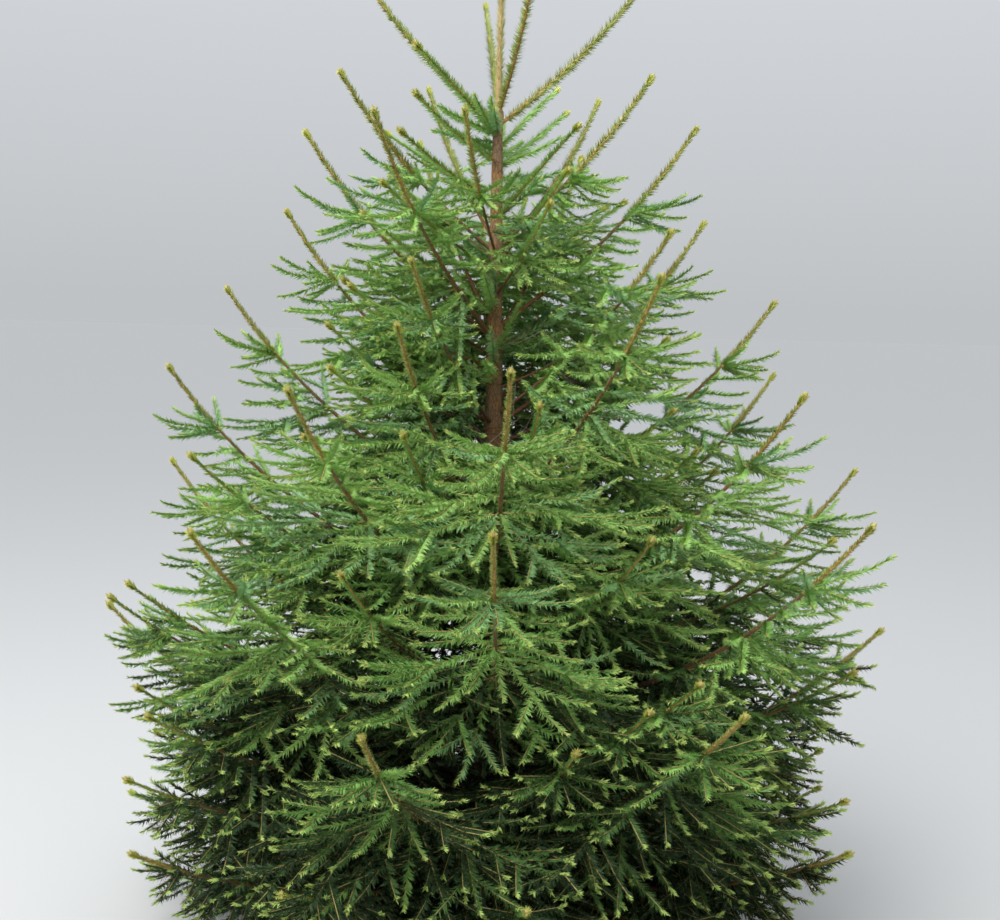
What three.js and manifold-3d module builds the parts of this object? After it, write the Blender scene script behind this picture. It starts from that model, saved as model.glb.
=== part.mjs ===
// A young spruce about ten years old, grown in the open with its branches down to the ground.
// A straight tapering trunk with a small root flare carries nine yearly whorls of rising boughs,
// and ends in a long leading shoot. Every bough carries pairs of side sprays that shorten
// towards its tip, each a flat toothed blade whose teeth stand for its shoots.
// Millimetres, +Z up. The origin is on the flat cut under the trunk at ground level,
// and -Y is the side that faces the viewer. Bearings run from +X towards +Y, in degrees.

import * as THREE from "three";
import Module from "manifold-3d";

const wasm = await Module();
wasm.setup();

// Trunk
const TREE_HEIGHT = 2550;
const FOOT_RADIUS = 38;
const TIP_RADIUS = 3;
const FLARE_SHARE = 0.3; // how far the foot spreads at the ground, as a share of its radius
const FLARE_HEIGHT = 45; // height over which the spread fades
const FLARE_LOBES = 5;
const LOBE_SHARE = 0.16;
const TRUNK_LEAN = 0.003;
const TRUNK_WANDER = 5;
const WANDER_PITCH = 420;
const TRUNK_SIDES = 10;
const TRUNK_RINGS = 18;
const RING_POWER = 1.6; // rings are closer together at the foot
const CLEARANCE = 0.3; // gap between solids that touch in the tree

// Whorls, from the leading shoot down. height: where the boughs leave the trunk.
// length: along a usual bough. lift: its rise at the trunk, tipLift: at its tip, in degrees.
// boughs: the bearing of each, and its length as a share of the usual one.
const WHORLS = [
  {
    height: 1965, length: 480, lift: 38, tipLift: 54,
    boughs: [[10, 1], [98, 0.9], [168, 0.95], [285, 0.85]],
  },
  {
    height: 1670, length: 540, lift: 38, tipLift: 58,
    boughs: [[255, 0.74], [350, 0.95], [48, 1], [120, 1], [190, 1]],
  },
  {
    height: 1470, length: 655, lift: 36, tipLift: 58,
    boughs: [[236, 1], [358, 1], [62, 1], [118, 1], [178, 1]],
  },
  {
    height: 1264, length: 740, lift: 31, tipLift: 57,
    boughs: [[244, 0.75], [324, 0.85], [20, 1], [95, 1], [165, 1]],
  },
  {
    height: 1040, length: 860, lift: 25, tipLift: 55,
    boughs: [[251, 0.88], [297, 1.03], [5, 1], [80, 1], [172, 1]],
  },
  {
    height: 800, length: 1000, lift: 20, tipLift: 55,
    boughs: [[242, 1.02], [272, 1.06], [318, 1.02], [22, 0.97], [100, 0.97], [182, 0.97]],
  },
  {
    height: 570, length: 1110, lift: 13, tipLift: 52,
    boughs: [[234, 1], [270, 1.04], [317, 1.05], [12, 1], [92, 0.95], [162, 0.95]],
  },
  {
    height: 350, length: 1060, lift: 8, tipLift: 46,
    boughs: [[258, 1.06], [297, 1.06], [358, 1], [80, 0.95], [178, 1]],
  },
  {
    height: 160, length: 930, lift: 0, tipLift: 32,
    boughs: [[214, 1], [278, 0.95], [333, 1], [45, 1], [130, 1]],
  },
];
const WHORL_STAGGER = 13; // neighbours in a whorl leave the trunk this far above or below it
const FIRST_LIMBED_WHORL = 6; // whorls 6 and 7 have stout bare boughs that carry their foliage
const LAST_LIMBED_WHORL = 7;

// Bough
const BOUGH_STEPS = 32;
const LIFT_POWER = 1.2; // the rise gathers towards the tip
const SWAY_DEGREES = 7;
const YEAR_POWER = 1.15; // outer years are longer
const BOUGH_RADIUS_SHARE = 0.009; // root radius as a share of the bough's length
const BOUGH_TIP_RADIUS = 2.2;
const BOUGH_SIDES = 6;
const STEM_SIDES = 3;
const BARE_SHARE = 0.3; // the inner part that has lost its sprays
const YOUNG_BARE_SHARE = 0.12; // the same on boughs of up to three years
const LIMB_END_SHARE = 0.3; // where a stout bough enters its foliage
const LIMB_RINGS = 4;
const STEM_END_SHARE = 0.66; // where a foliage stem gives way to the shoot at its tip
const STEM_RINGS = 4;
const STEM_STOUT = 1.15; // a three-sided stem is drawn wider, to hold as much wood as a round one
const TAPER_EASE = 0.7; // a bough thins quickly at first

// Side sprays
const SPRAY_REACH = 0.74; // a spray's length as a share of the bough left beyond its root
const SPRAY_EXTRA = 25;
const SPRAY_MOST = 400;
const SPRAY_LEAST = 75;
const SPRAY_GAP = 0.122; // least gap between two roots on one side, as a share of the bough
const SPRAY_STEPS = 6;
const FAN_TIP_DEGREES = 50; // angle between bough and spray near the tip
const FAN_ROOT_DEGREES = 62;
const DROOP_TIP_DEGREES = 6;
const DROOP_ROOT_DEGREES = 26;
const WEAK_SHARE = 0.72; // sprays between the yearly nodes are shorter
const WEAK_PLACES = [0.28, 0.5, 0.72]; // where they grow along a year's length, on each side
const SIDE_STEP = 0.06; // left and right ones are this share of a year out of step
const PLACE_JITTER = 0.1;
const FIRST_YEAR_VIGOUR = 0.65; // sprays are short on a bough of one year
const VIGOUR_A_YEAR = 0.2;
const VIGOUR_SPREAD = 0.3;
const FAN_SPREAD = 10;
const DROOP_SPREAD = 14;
const ROLL_SPREAD = 30;
const LIFT_KEPT = 0.75; // how much of the bough's rise a spray keeps
const SAG_DEGREES = 12; // a spray sags at its middle
const UPTURN_DEGREES = 14; // and turns up at its tip
const BLADE_SHARE = 0.27; // half width of a spray as a share of its length
const BLADE_LEAST = 17;
const BLADE_THICKNESS = 11;
const BLADE_THINNING = 0.55; // how much of its thickness is gone at its end
const MOST_TEETH = 3;
const TOOTH_LENGTH = 95;
const TOOTH_TIP = 0.78; // where a tooth's tip lies along its own length
const TOOTH_NOTCH = 1.05; // and the notch behind it
const LAST_TOOTH = 0.6; // the end runs on past the last pair by this much of a tooth
const TOOTH_NARROWING = 0.6; // teeth shrink by this share towards the end
const NOTCH_WIDTH = 0.3;
const EDGE_DROOP = 0.35; // the edges hang by this share of the half width
const GROUND_GAP = 5; // no spray hangs lower than this
const NEEDLE_HALF_WIDTH = 17; // half width of a single shoot with its needles

// Leading shoot
const SLEEVE_WALL = 3;
const SLEEVE_SIDES = 6;
const SLEEVE_RISE = 35; // the sleeve starts this far above the topmost whorl
const SLEEVE_RINGS = 4;
const BUD_HEIGHT = 9;
const LEADER_NEEDLES = 10;
const LEADER_NEEDLE = 24;
const LEADER_NEEDLE_LIFT = 48;
const LEADER_TURN = 137.5; // from each needle round to the next, in degrees

const UP = new THREE.Vector3(0, 0, 1);
const FORWARD = new THREE.Vector3(1, 0, 0);
const radians = THREE.MathUtils.degToRad;
const mix = THREE.MathUtils.lerp;

// Repeatable numbers from 0 to 1: the same seed always gives the same row of them.
function seeded(seed) {
  let state = (seed * 7919 + 104729) % 2147483647;
  const draw = () => {
    state = (state * 16807) % 2147483647;
    return state / 2147483647;
  };
  draw();
  draw();
  return draw;
}

// A closed solid from corner points and triangles whose corners run anticlockwise seen from outside.
function solidFrom(points, triangles) {
  const vertProperties = new Float32Array(points.flatMap((p) => [p.x, p.y, p.z]));
  const triVerts = new Uint32Array(triangles.flat());
  return new wasm.Manifold(new wasm.Mesh({ numProp: 3, vertProperties, triVerts }));
}

// A limb that tapers through a row of stations, each a point and the way the limb runs there.
// It ends flat, or in a point when pointed is true.
function limb(stations, radiusAt, sides, reference = UP, pointed = false) {
  const points = [];
  const triangles = [];
  const last = stations.length - 1;
  const rings = pointed ? last : last + 1;
  for (let k = 0; k < rings; k++) {
    const { point, along } = stations[k];
    const side = along.clone().cross(reference).normalize();
    const lift = side.clone().cross(along);
    for (let j = 0; j < sides; j++) {
      const turn = (2 * Math.PI * j) / sides;
      const radius = radiusAt(k / last, turn, point);
      const out = side.clone().multiplyScalar(Math.cos(turn) * radius);
      points.push(out.addScaledVector(lift, Math.sin(turn) * radius).add(point));
    }
  }
  for (let k = 0; k < rings - 1; k++)
    for (let j = 0; j < sides; j++) {
      const [a, b] = [k * sides + j, k * sides + ((j + 1) % sides)];
      triangles.push([a, a + sides, b], [b, a + sides, b + sides]);
    }
  const end = (rings - 1) * sides;
  if (pointed) points.push(stations[last].point.clone());
  for (let j = 0; j < sides; j++) {
    const next = (j + 1) % sides;
    if (j > 0 && next > 0) triangles.push([0, j, next]);
    if (pointed) triangles.push([end + j, points.length - 1, end + next]);
    else if (j > 0 && next > 0) triangles.push([end, end + next, end + j]);
  }
  return solidFrom(points, triangles);
}

// Trunk

function trunkCentre(z) {
  const phase = z / WANDER_PITCH;
  return new THREE.Vector3(
    TRUNK_WANDER * Math.sin(phase) - TRUNK_LEAN * z,
    TRUNK_WANDER * (Math.cos(phase) - 1),
    z,
  );
}

function trunkRadius(z) {
  return mix(FOOT_RADIUS, TIP_RADIUS, Math.min(z / TREE_HEIGHT, 1));
}

function trunkStation(z) {
  return { point: trunkCentre(z), along: UP };
}

// The trunk's solid, all round thicker by grow.
function trunkSolid(grow = 0) {
  const stations = [];
  for (let k = 0; k <= TRUNK_RINGS; k++)
    stations.push(trunkStation(TREE_HEIGHT * Math.pow(k / TRUNK_RINGS, RING_POWER)));
  const radiusAt = (share, turn, point) => {
    const spread = Math.exp(-point.z / FLARE_HEIGHT);
    const lobe = LOBE_SHARE * Math.cos(FLARE_LOBES * turn);
    return trunkRadius(point.z) * (1 + spread * (FLARE_SHARE + lobe)) + grow;
  };
  if (grow > 0) stations.push(trunkStation(TREE_HEIGHT + grow));
  return limb(stations, radiusAt, TRUNK_SIDES, FORWARD);
}

// Boughs

function heading(bearing, lift) {
  const level = Math.cos(radians(lift));
  return new THREE.Vector3(
    level * Math.cos(radians(bearing)),
    level * Math.sin(radians(bearing)),
    Math.sin(radians(lift)),
  );
}

// One bough: its centre line from the middle of the trunk to its tip, and its own seed.
function boughOf(whorl, years, number) {
  const seed = years * 10 + number;
  const draw = seeded(seed);
  const [bearing, share] = whorl.boughs[number];
  const length = whorl.length * share;
  const sway = SWAY_DEGREES * (2 * draw() - 1);
  const line = [trunkCentre(whorl.height + (number % 2 ? 1 : -1) * WHORL_STAGGER)];
  for (let k = 0; k < BOUGH_STEPS; k++) {
    const out = (k + 0.5) / BOUGH_STEPS;
    const lift = mix(whorl.lift, whorl.tipLift, Math.pow(out, LIFT_POWER));
    const step = heading(bearing + sway * (out - 0.5), lift);
    line.push(line[k].clone().addScaledVector(step, length / BOUGH_STEPS));
  }
  return { seed, years, number, length, line };
}

// The point on a line, and the way it runs there, at a share of its length.
function placeOn(line, share) {
  const last = line.length - 1;
  const k = Math.min(Math.floor(share * last), last - 1);
  const point = line[k].clone().lerp(line[k + 1], share * last - k);
  return { point, along: line[k + 1].clone().sub(line[k]).normalize() };
}

function stretchOf(line, from, to, count) {
  const stations = [];
  for (let k = 0; k <= count; k++) stations.push(placeOn(line, mix(from, to, k / count)));
  return stations;
}

function nodeShare(year, years) {
  return Math.pow(year / years, YEAR_POWER);
}

function boughRadius(bough, share) {
  return mix(bough.length * BOUGH_RADIUS_SHARE, BOUGH_TIP_RADIUS, Math.pow(share, TAPER_EASE));
}

// The side sprays of a bough, root to tip. The pair at each yearly node is strong.
function spraysOf(bough) {
  const sprays = [];
  for (let year = 0; year < bough.years; year++) {
    const from = nodeShare(year, bough.years);
    const to = nodeShare(year + 1, bough.years);
    const places = [{ share: from, strong: true }];
    for (const place of WEAK_PLACES) places.push({ share: mix(from, to, place), strong: false });
    places.forEach(({ share, strong }, place) => {
      for (const side of [-1, 1]) {
        const seed = (bough.seed * 20 + year) * 10 + place * 2 + (side > 0 ? 1 : 0);
        sprays.push(sprayOf(bough, share, side, strong, seed));
      }
    });
  }
  return sprays.filter((spray) => spray.share > sprayStart(bough) && spray.length > SPRAY_LEAST);
}

// The sprays that the solids show: the strong ones first, then weak ones where there is room.
function spacedOut(sprays) {
  const kept = [];
  for (const spray of sprays.toSorted((a, b) => b.strong - a.strong)) {
    const crowds = (other) =>
      other.side === spray.side && Math.abs(other.share - spray.share) < SPRAY_GAP;
    if (!kept.some(crowds)) kept.push(spray);
  }
  return kept;
}

function sprayStart(bough) {
  return bough.years > 3 ? BARE_SHARE : YOUNG_BARE_SHARE;
}

function sprayOf(bough, rootShare, side, strong, seed) {
  const draw = seeded(seed);
  const step = (PLACE_JITTER * (draw() - 0.5) + SIDE_STEP * side) / bough.years;
  const share = rootShare + (strong ? 0 : step);
  const beyond = bough.length * (1 - share);
  const age = Math.min(FIRST_YEAR_VIGOUR + VIGOUR_A_YEAR * (bough.years - 1), 1);
  const vigour = age * (strong ? 1 : WEAK_SHARE) * (1 + VIGOUR_SPREAD * (draw() - 0.5));
  const length = Math.min(SPRAY_REACH * beyond + SPRAY_EXTRA, SPRAY_MOST) * vigour;
  const fan = mix(FAN_ROOT_DEGREES, FAN_TIP_DEGREES, share) + FAN_SPREAD * (draw() - 0.5);
  const droop = mix(DROOP_ROOT_DEGREES, DROOP_TIP_DEGREES, share) + DROOP_SPREAD * (draw() - 0.5);
  const roll = ROLL_SPREAD * (draw() - 0.5);
  const { point, along } = placeOn(bough.line, share);
  const across = along.clone().cross(UP).normalize();
  const start = along.clone().multiplyScalar(Math.cos(radians(fan)));
  start.addScaledVector(across, side * Math.sin(radians(fan)));
  const bearing = THREE.MathUtils.radToDeg(Math.atan2(start.y, start.x));
  const lift = THREE.MathUtils.radToDeg(Math.asin(start.z)) * LIFT_KEPT - droop;
  const line = [point];
  for (let k = 0; k < SPRAY_STEPS; k++) {
    const out = (k + 0.5) / SPRAY_STEPS;
    const rise = lift - SAG_DEGREES * Math.sin(Math.PI * out) + UPTURN_DEGREES * out * out;
    line.push(line[k].clone().addScaledVector(heading(bearing, rise), length / SPRAY_STEPS));
  }
  return { share, side, strong, length, roll, line };
}

// A flat spray: a ridge along its middle, top and bottom, and swept teeth along both edges.
function blade(line, halfWidth, teeth, roll, sink) {
  const start = placeOn(line, 0);
  const points = [start.point.clone().addScaledVector(start.along, -sink)];
  const stations = teeth + LAST_TOOTH;
  const frameAt = (share) => {
    const { point, along } = placeOn(line, Math.min(share, 0.999));
    const across = along.clone().cross(UP).normalize().applyAxisAngle(along, radians(roll));
    return { point, across, over: across.clone().cross(along) };
  };
  const add = (share, across, over) => {
    const frame = frameAt(share);
    const corner = frame.point.addScaledVector(frame.across, across).addScaledVector(frame.over, over);
    return points.push(corner) - 1;
  };
  const ridges = [1, -1].map((face) => {
    const ridge = [];
    for (let j = 1; j < teeth; j++) {
      const share = (j - 1 + TOOTH_NOTCH) / stations;
      ridge.push(add(share, 0, face * BLADE_THICKNESS * 0.5 * (1 - BLADE_THINNING * share)));
    }
    return ridge;
  });
  const edges = [1, -1].map((side) => {
    const edge = [];
    for (let j = 0; j < teeth; j++) {
      const width = halfWidth * (1 - (TOOTH_NARROWING * j) / teeth);
      edge.push(add((j + TOOTH_TIP) / stations, side * width, -EDGE_DROOP * width));
      if (j === teeth - 1) continue;
      const notch = width * NOTCH_WIDTH;
      edge.push(add((j + TOOTH_NOTCH) / stations, side * notch, -EDGE_DROOP * notch));
    }
    return edge;
  });
  const end = points.push(placeOn(line, 1).point.clone()) - 1;
  const triangles = [];
  ridges.forEach((ridge, face) =>
    edges.forEach((edge, side) => {
      const strip = [[0, edge[0], ridge[0]]];
      for (let j = 0; j < teeth - 1; j++) {
        const [tip, notch, nextTip] = edge.slice(2 * j, 2 * j + 3);
        strip.push([ridge[j], tip, notch], [ridge[j], notch, nextTip]);
        strip.push([ridge[j], nextTip, j < teeth - 2 ? ridge[j + 1] : end]);
      }
      const flip = face === side;
      triangles.push(...strip.map(([a, b, c]) => (flip ? [a, b, c] : [a, c, b])));
    }),
  );
  return solidFrom(points, triangles);
}

function sprayBlade(spray, sink) {
  const teeth = THREE.MathUtils.clamp(Math.round(spray.length / TOOTH_LENGTH), 2, MOST_TEETH);
  const halfWidth = Math.max(spray.length * BLADE_SHARE, BLADE_LEAST);
  return blade(spray.line, halfWidth, teeth, spray.roll, sink);
}

// The shoot at the bough's tip, with its needles.
function tipBlade(bough, from) {
  const line = stretchOf(bough.line, from, 1, SPRAY_STEPS).map((station) => station.point);
  return blade(line, NEEDLE_HALF_WIDTH, MOST_TEETH, 0, BOUGH_TIP_RADIUS);
}

// Two solids are apart when their boxes are, or when no gap under the clearance is found.
function apart(a, b) {
  const [p, q] = [a.box, b.box];
  for (let i = 0; i < 3; i++)
    if (p.min[i] > q.max[i] + CLEARANCE || q.min[i] > p.max[i] + CLEARANCE) return true;
  return a.solid.minGap(b.solid, 2 * CLEARANCE) >= CLEARANCE;
}

function boxed(solid) {
  return { solid, box: solid.boundingBox() };
}

// Leading shoot: a thin sleeve of needles round the top of the trunk, with a bud over its tip.
function leaderNeedles(keepOut) {
  const foot = WHORLS[0].height + SLEEVE_RISE;
  const top = TREE_HEIGHT + BUD_HEIGHT;
  const stations = [];
  for (let k = 0; k <= SLEEVE_RINGS; k++) stations.push(trunkStation(mix(foot, top, k / SLEEVE_RINGS)));
  const outside = (share, turn, point) => trunkRadius(point.z) + SLEEVE_WALL;
  const sleeve = limb(stations, outside, SLEEVE_SIDES, FORWARD);
  const needles = [];
  for (let k = 0; k < LEADER_NEEDLES; k++) {
    const z = mix(foot, TREE_HEIGHT, (k + 0.5) / LEADER_NEEDLES);
    const out = heading(k * LEADER_TURN, LEADER_NEEDLE_LIFT);
    const root = trunkCentre(z).addScaledVector(heading(k * LEADER_TURN, 0), trunkRadius(z) * 0.5);
    const tip = root.clone().addScaledVector(out, LEADER_NEEDLE + trunkRadius(z));
    const needle = [root, tip].map((point) => ({ point, along: out }));
    needles.push(limb(needle, () => SLEEVE_WALL, 3, UP, true));
  }
  return wasm.Manifold.union([sleeve, ...needles]).subtract(keepOut);
}

// A mesh with flat faces from a solid.
function meshOf(name, solid, material) {
  const made = solid.getMesh();
  const corners = new Float32Array(made.numVert * 3);
  for (let k = 0; k < made.numVert; k++)
    corners.set(made.vertProperties.subarray(k * made.numProp, k * made.numProp + 3), k * 3);
  const geometry = new THREE.BufferGeometry();
  geometry.setAttribute("position", new THREE.BufferAttribute(corners, 3));
  geometry.setIndex(new THREE.BufferAttribute(new Uint32Array(made.triVerts), 1));
  const faceted = geometry.toNonIndexed();
  faceted.computeVertexNormals();
  const mesh = new THREE.Mesh(faceted, material);
  mesh.name = name;
  return mesh;
}

const materials = {
  bark: new THREE.MeshStandardMaterial({ color: 0x6b5240, roughness: 0.9, metalness: 0 }),
  branch: new THREE.MeshStandardMaterial({ color: 0x7c5633, roughness: 0.85, metalness: 0 }),
  needles: new THREE.MeshStandardMaterial({ color: 0x3f6b35, roughness: 0.6, metalness: 0 }),
  leader: new THREE.MeshStandardMaterial({ color: 0x8f9a55, roughness: 0.6, metalness: 0 }),
};

// A bough with its solids: a stout bare limb where its whorl has one, and the foliage's first two
// pieces, which are its stem and the shoot at its tip.
function boughSolids(whorl, years, number, keepOut) {
  const bough = boughOf(whorl, years, number);
  const limbed = years >= FIRST_LIMBED_WHORL && years <= LAST_LIMBED_WHORL;
  const from = limbed ? LIMB_END_SHARE + CLEARANCE / bough.length : 0;
  const stemRadius = (share) => boughRadius(bough, mix(from, STEM_END_SHARE, share)) * STEM_STOUT;
  let stem = limb(stretchOf(bough.line, from, STEM_END_SHARE, STEM_RINGS), stemRadius, STEM_SIDES);
  let bare = null;
  if (limbed) {
    const limbRadius = (share) => boughRadius(bough, share * LIMB_END_SHARE);
    const stations = stretchOf(bough.line, 0, LIMB_END_SHARE, LIMB_RINGS);
    bare = boxed(limb(stations, limbRadius, BOUGH_SIDES).subtract(keepOut));
  } else stem = stem.subtract(keepOut);
  const shoot = tipBlade(bough, STEM_END_SHARE - BOUGH_TIP_RADIUS / bough.length);
  return { label: `${years}_${number + 1}`, bough, bare, pieces: [boxed(stem), boxed(shoot)] };
}

// The tree: limbs and stems are placed first, then sprays, each only where it touches nothing else.
function growTree() {
  const tree = new THREE.Group();
  tree.name = "spruce_tree";
  const keepOut = trunkSolid(CLEARANCE);
  const leader = leaderNeedles(keepOut);
  tree.add(meshOf("trunk", trunkSolid(), materials.bark));
  tree.add(meshOf("leader_needles", leader, materials.leader));

  const masses = WHORLS.flatMap((whorl, index) =>
    whorl.boughs.map((_, number) => boughSolids(whorl, index + 1, number, keepOut)),
  );
  const bare = masses.flatMap((mass) => mass.bare ?? []);
  const fixed = [...bare, boxed(keepOut), boxed(leader)];
  for (const mass of masses) {
    const others = masses.filter((other) => other !== mass);
    for (const spray of spacedOut(spraysOf(mass.bough))) {
      const piece = boxed(sprayBlade(spray, boughRadius(mass.bough, spray.share) * 0.5));
      const clear =
        piece.box.min[2] > GROUND_GAP &&
        fixed.every((other) => apart(piece, other)) &&
        others.every((other) => other.pieces.every((near) => apart(piece, near)));
      if (clear) mass.pieces.push(piece);
    }
  }
  for (const { label, bare, pieces } of masses) {
    if (bare) tree.add(meshOf(`bough_${label}`, bare.solid, materials.branch));
    const foliage = wasm.Manifold.union(pieces.map((piece) => piece.solid));
    tree.add(meshOf(`foliage_${label}`, foliage, materials.needles));
  }
  return tree;
}

export default growTree();
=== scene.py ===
# %% [markdown]
# # A young spruce, grown by a rule
# The object is a whole spruce about ten years old, with its branches down to the ground. A packed
# model of plain solids gives its trunk, its boughs and the reach of its masses of foliage.
# This lesson loads that model as a fixed frame, grows the same boughs again by the same rule, and
# carries them on to twigs, needles and buds. The solids are replaced, and keep only their reach.

# %% Load the frame and keep its box
import math
import bpy
import numpy as np
from mathutils import Matrix, Vector
from mathutils.bvhtree import BVHTree


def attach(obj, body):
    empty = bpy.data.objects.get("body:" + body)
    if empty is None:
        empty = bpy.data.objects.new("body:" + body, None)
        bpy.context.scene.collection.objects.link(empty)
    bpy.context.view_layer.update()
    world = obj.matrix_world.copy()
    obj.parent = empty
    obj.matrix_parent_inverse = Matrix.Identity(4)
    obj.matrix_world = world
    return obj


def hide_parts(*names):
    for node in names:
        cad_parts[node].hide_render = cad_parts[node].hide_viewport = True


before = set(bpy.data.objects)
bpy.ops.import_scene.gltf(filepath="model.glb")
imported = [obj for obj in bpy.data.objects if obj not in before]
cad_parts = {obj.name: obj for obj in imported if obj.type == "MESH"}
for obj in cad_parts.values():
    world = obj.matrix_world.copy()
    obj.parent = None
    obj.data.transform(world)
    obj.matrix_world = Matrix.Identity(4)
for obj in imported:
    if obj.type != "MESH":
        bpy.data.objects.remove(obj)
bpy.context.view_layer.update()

MASSES = sorted(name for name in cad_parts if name.startswith("foliage_"))
LIMBS = sorted(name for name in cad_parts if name.startswith("bough_"))
print(len(MASSES), "masses of foliage and", len(LIMBS), "stout limbs")

# %% [markdown]
# ## Camera
# The tree was seen from a little over three metres away, at the eye height of a standing person.
# The trunk leans a little to the right in the picture, so the camera is turned about its own line
# of sight. A camera is placed by three directions here, as that needs no tracking constraint.

# %% Camera
PICTURE_WIDTH = 1000  # pixels
FOCAL_PIXELS = 1300
SENSOR_WIDTH = 36.0
CAMERA_PLACE = (0.014, -3.1, 1.55)
PITCH_DOWN = math.radians(7.0)
CAMERA_ROLL = math.radians(1.5)


def add_object(name, data):
    item = bpy.data.objects.new(name, data)
    bpy.context.scene.collection.objects.link(item)
    return item


def add_camera():
    data = bpy.data.cameras.new("camera")
    data.sensor_width = SENSOR_WIDTH
    data.lens = SENSOR_WIDTH * FOCAL_PIXELS / PICTURE_WIDTH
    camera = add_object("camera", data)
    level_right = np.array([1.0, 0.0, 0.0])
    level_up = np.array([0.0, math.sin(PITCH_DOWN), math.cos(PITCH_DOWN)])
    ahead = np.array([0.0, math.cos(PITCH_DOWN), -math.sin(PITCH_DOWN)])
    right = level_right * math.cos(CAMERA_ROLL) + level_up * math.sin(CAMERA_ROLL)
    up = level_up * math.cos(CAMERA_ROLL) - level_right * math.sin(CAMERA_ROLL)
    matrix = np.eye(4)
    matrix[:3, 0], matrix[:3, 1], matrix[:3, 2], matrix[:3, 3] = right, up, -ahead, CAMERA_PLACE
    camera.matrix_world = Matrix(matrix)
    bpy.context.scene.camera = camera
    return camera


print("lens:", round(add_camera().data.lens, 1), "mm")

# %% [markdown]
# ## Nodes in a few words
# Every material and every geometry tree below is a graph of nodes. One helper adds a node, sets its
# options, and feeds each of its inputs a plain value or the output of another node. That keeps a
# graph readable as a list of steps.


# %% A helper that adds one node
def put(tree, kind, feeds=None, **options):
    node = tree.nodes.new(kind)
    for option, value in options.items():
        setattr(node, option, value)
    for key, value in (feeds or {}).items():
        if isinstance(value, bpy.types.NodeSocket):
            tree.links.new(value, node.inputs[key])
        else:
            node.inputs[key].default_value = value
    return node


# %% [markdown]
# ## Materials
# Needles have a waxy skin that shines a little, and their green changes from shoot to shoot. Those
# greens have a place, so each is a material of its own, dealt out by spray. Five of them are lit and
# shaded copies of one needle green: deep and dark are painted shade, leaf is the middle step, and
# bright and blue, which is a little bluer, are painted light. Within one green a noise makes single
# needles lighter or darker. Bark is matt. Its flakes come from a cell pattern stretched along the
# stem, over a slow change from orange-brown to grey.

# %% Material: needles
NEEDLE_GRAIN, SHOOT_GRAIN = 420.0, 9.0  # scales of the noise from needle to needle and from shoot to shoot
NEEDLE_SHINE = 0.28
EDGES_OF_NOISE = (0.36, 0.64)  # the darkest and the lightest green start here


def needle_finish(name, green, spread=0.28, roughness=0.52):
    material = bpy.data.materials.new(name)
    material.use_nodes = True
    tree = material.node_tree
    shader = tree.nodes["Principled BSDF"]
    place = put(tree, "ShaderNodeTexCoord")
    fine, slow = (put(tree, "ShaderNodeTexNoise", {
        "Vector": place.outputs["Object"], "Scale": scale, "Detail": detail})
        for scale, detail in ((NEEDLE_GRAIN, 1.0), (SHOOT_GRAIN, 2.0)))
    both = put(tree, "ShaderNodeMath", {0: fine.outputs["Fac"], 1: slow.outputs["Fac"]}, operation="ADD")
    half = put(tree, "ShaderNodeMath", {0: both.outputs[0], 1: 0.5}, operation="MULTIPLY")
    ramp = put(tree, "ShaderNodeValToRGB", {"Fac": half.outputs[0]})
    dark = [c * (1 - spread) for c in green]
    light = [min(c * (1 + spread) + 0.012, 1) for c in green]
    for end, position, colour in zip(ramp.color_ramp.elements, EDGES_OF_NOISE, (dark, light)):
        end.position, end.color = position, (*colour, 1)
    gloss = put(tree, "ShaderNodeMapRange", {
        "Value": fine.outputs["Fac"], "From Min": 0.3, "From Max": 0.7,
        "To Min": roughness - 0.07, "To Max": roughness + 0.12})
    tree.links.new(ramp.outputs["Color"], shader.inputs["Base Color"])
    tree.links.new(gloss.outputs["Result"], shader.inputs["Roughness"])
    shader.inputs["Specular IOR Level"].default_value = NEEDLE_SHINE
    return material


GREENS = {
    # deep and dark: painted shade, darker copies of the leaf green for hidden and low sprays; bright and
    # blue: painted light, lighter copies for high, open sprays
    "deep": (0.026, 0.062, 0.015),
    "dark": (0.065, 0.145, 0.030),
    "leaf": (0.165, 0.335, 0.070),
    "bright": (0.285, 0.490, 0.122),
    "blue": (0.215, 0.405, 0.145),
    "fresh": (0.390, 0.545, 0.135),
    "olive": (0.280, 0.360, 0.080),
    "straw": (0.620, 0.520, 0.220),
    "tip": (0.580, 0.600, 0.140),
}
NEEDLE_FINISHES = {name: needle_finish("needles_" + name, green) for name, green in GREENS.items()}
print(len(NEEDLE_FINISHES), "greens")

# %% Material: bark
EDGE_OF_FLAKE = 0.07  # share of a flake that darkens into the cleft
GRAIN_TO_FLAKES = 2.5


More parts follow.
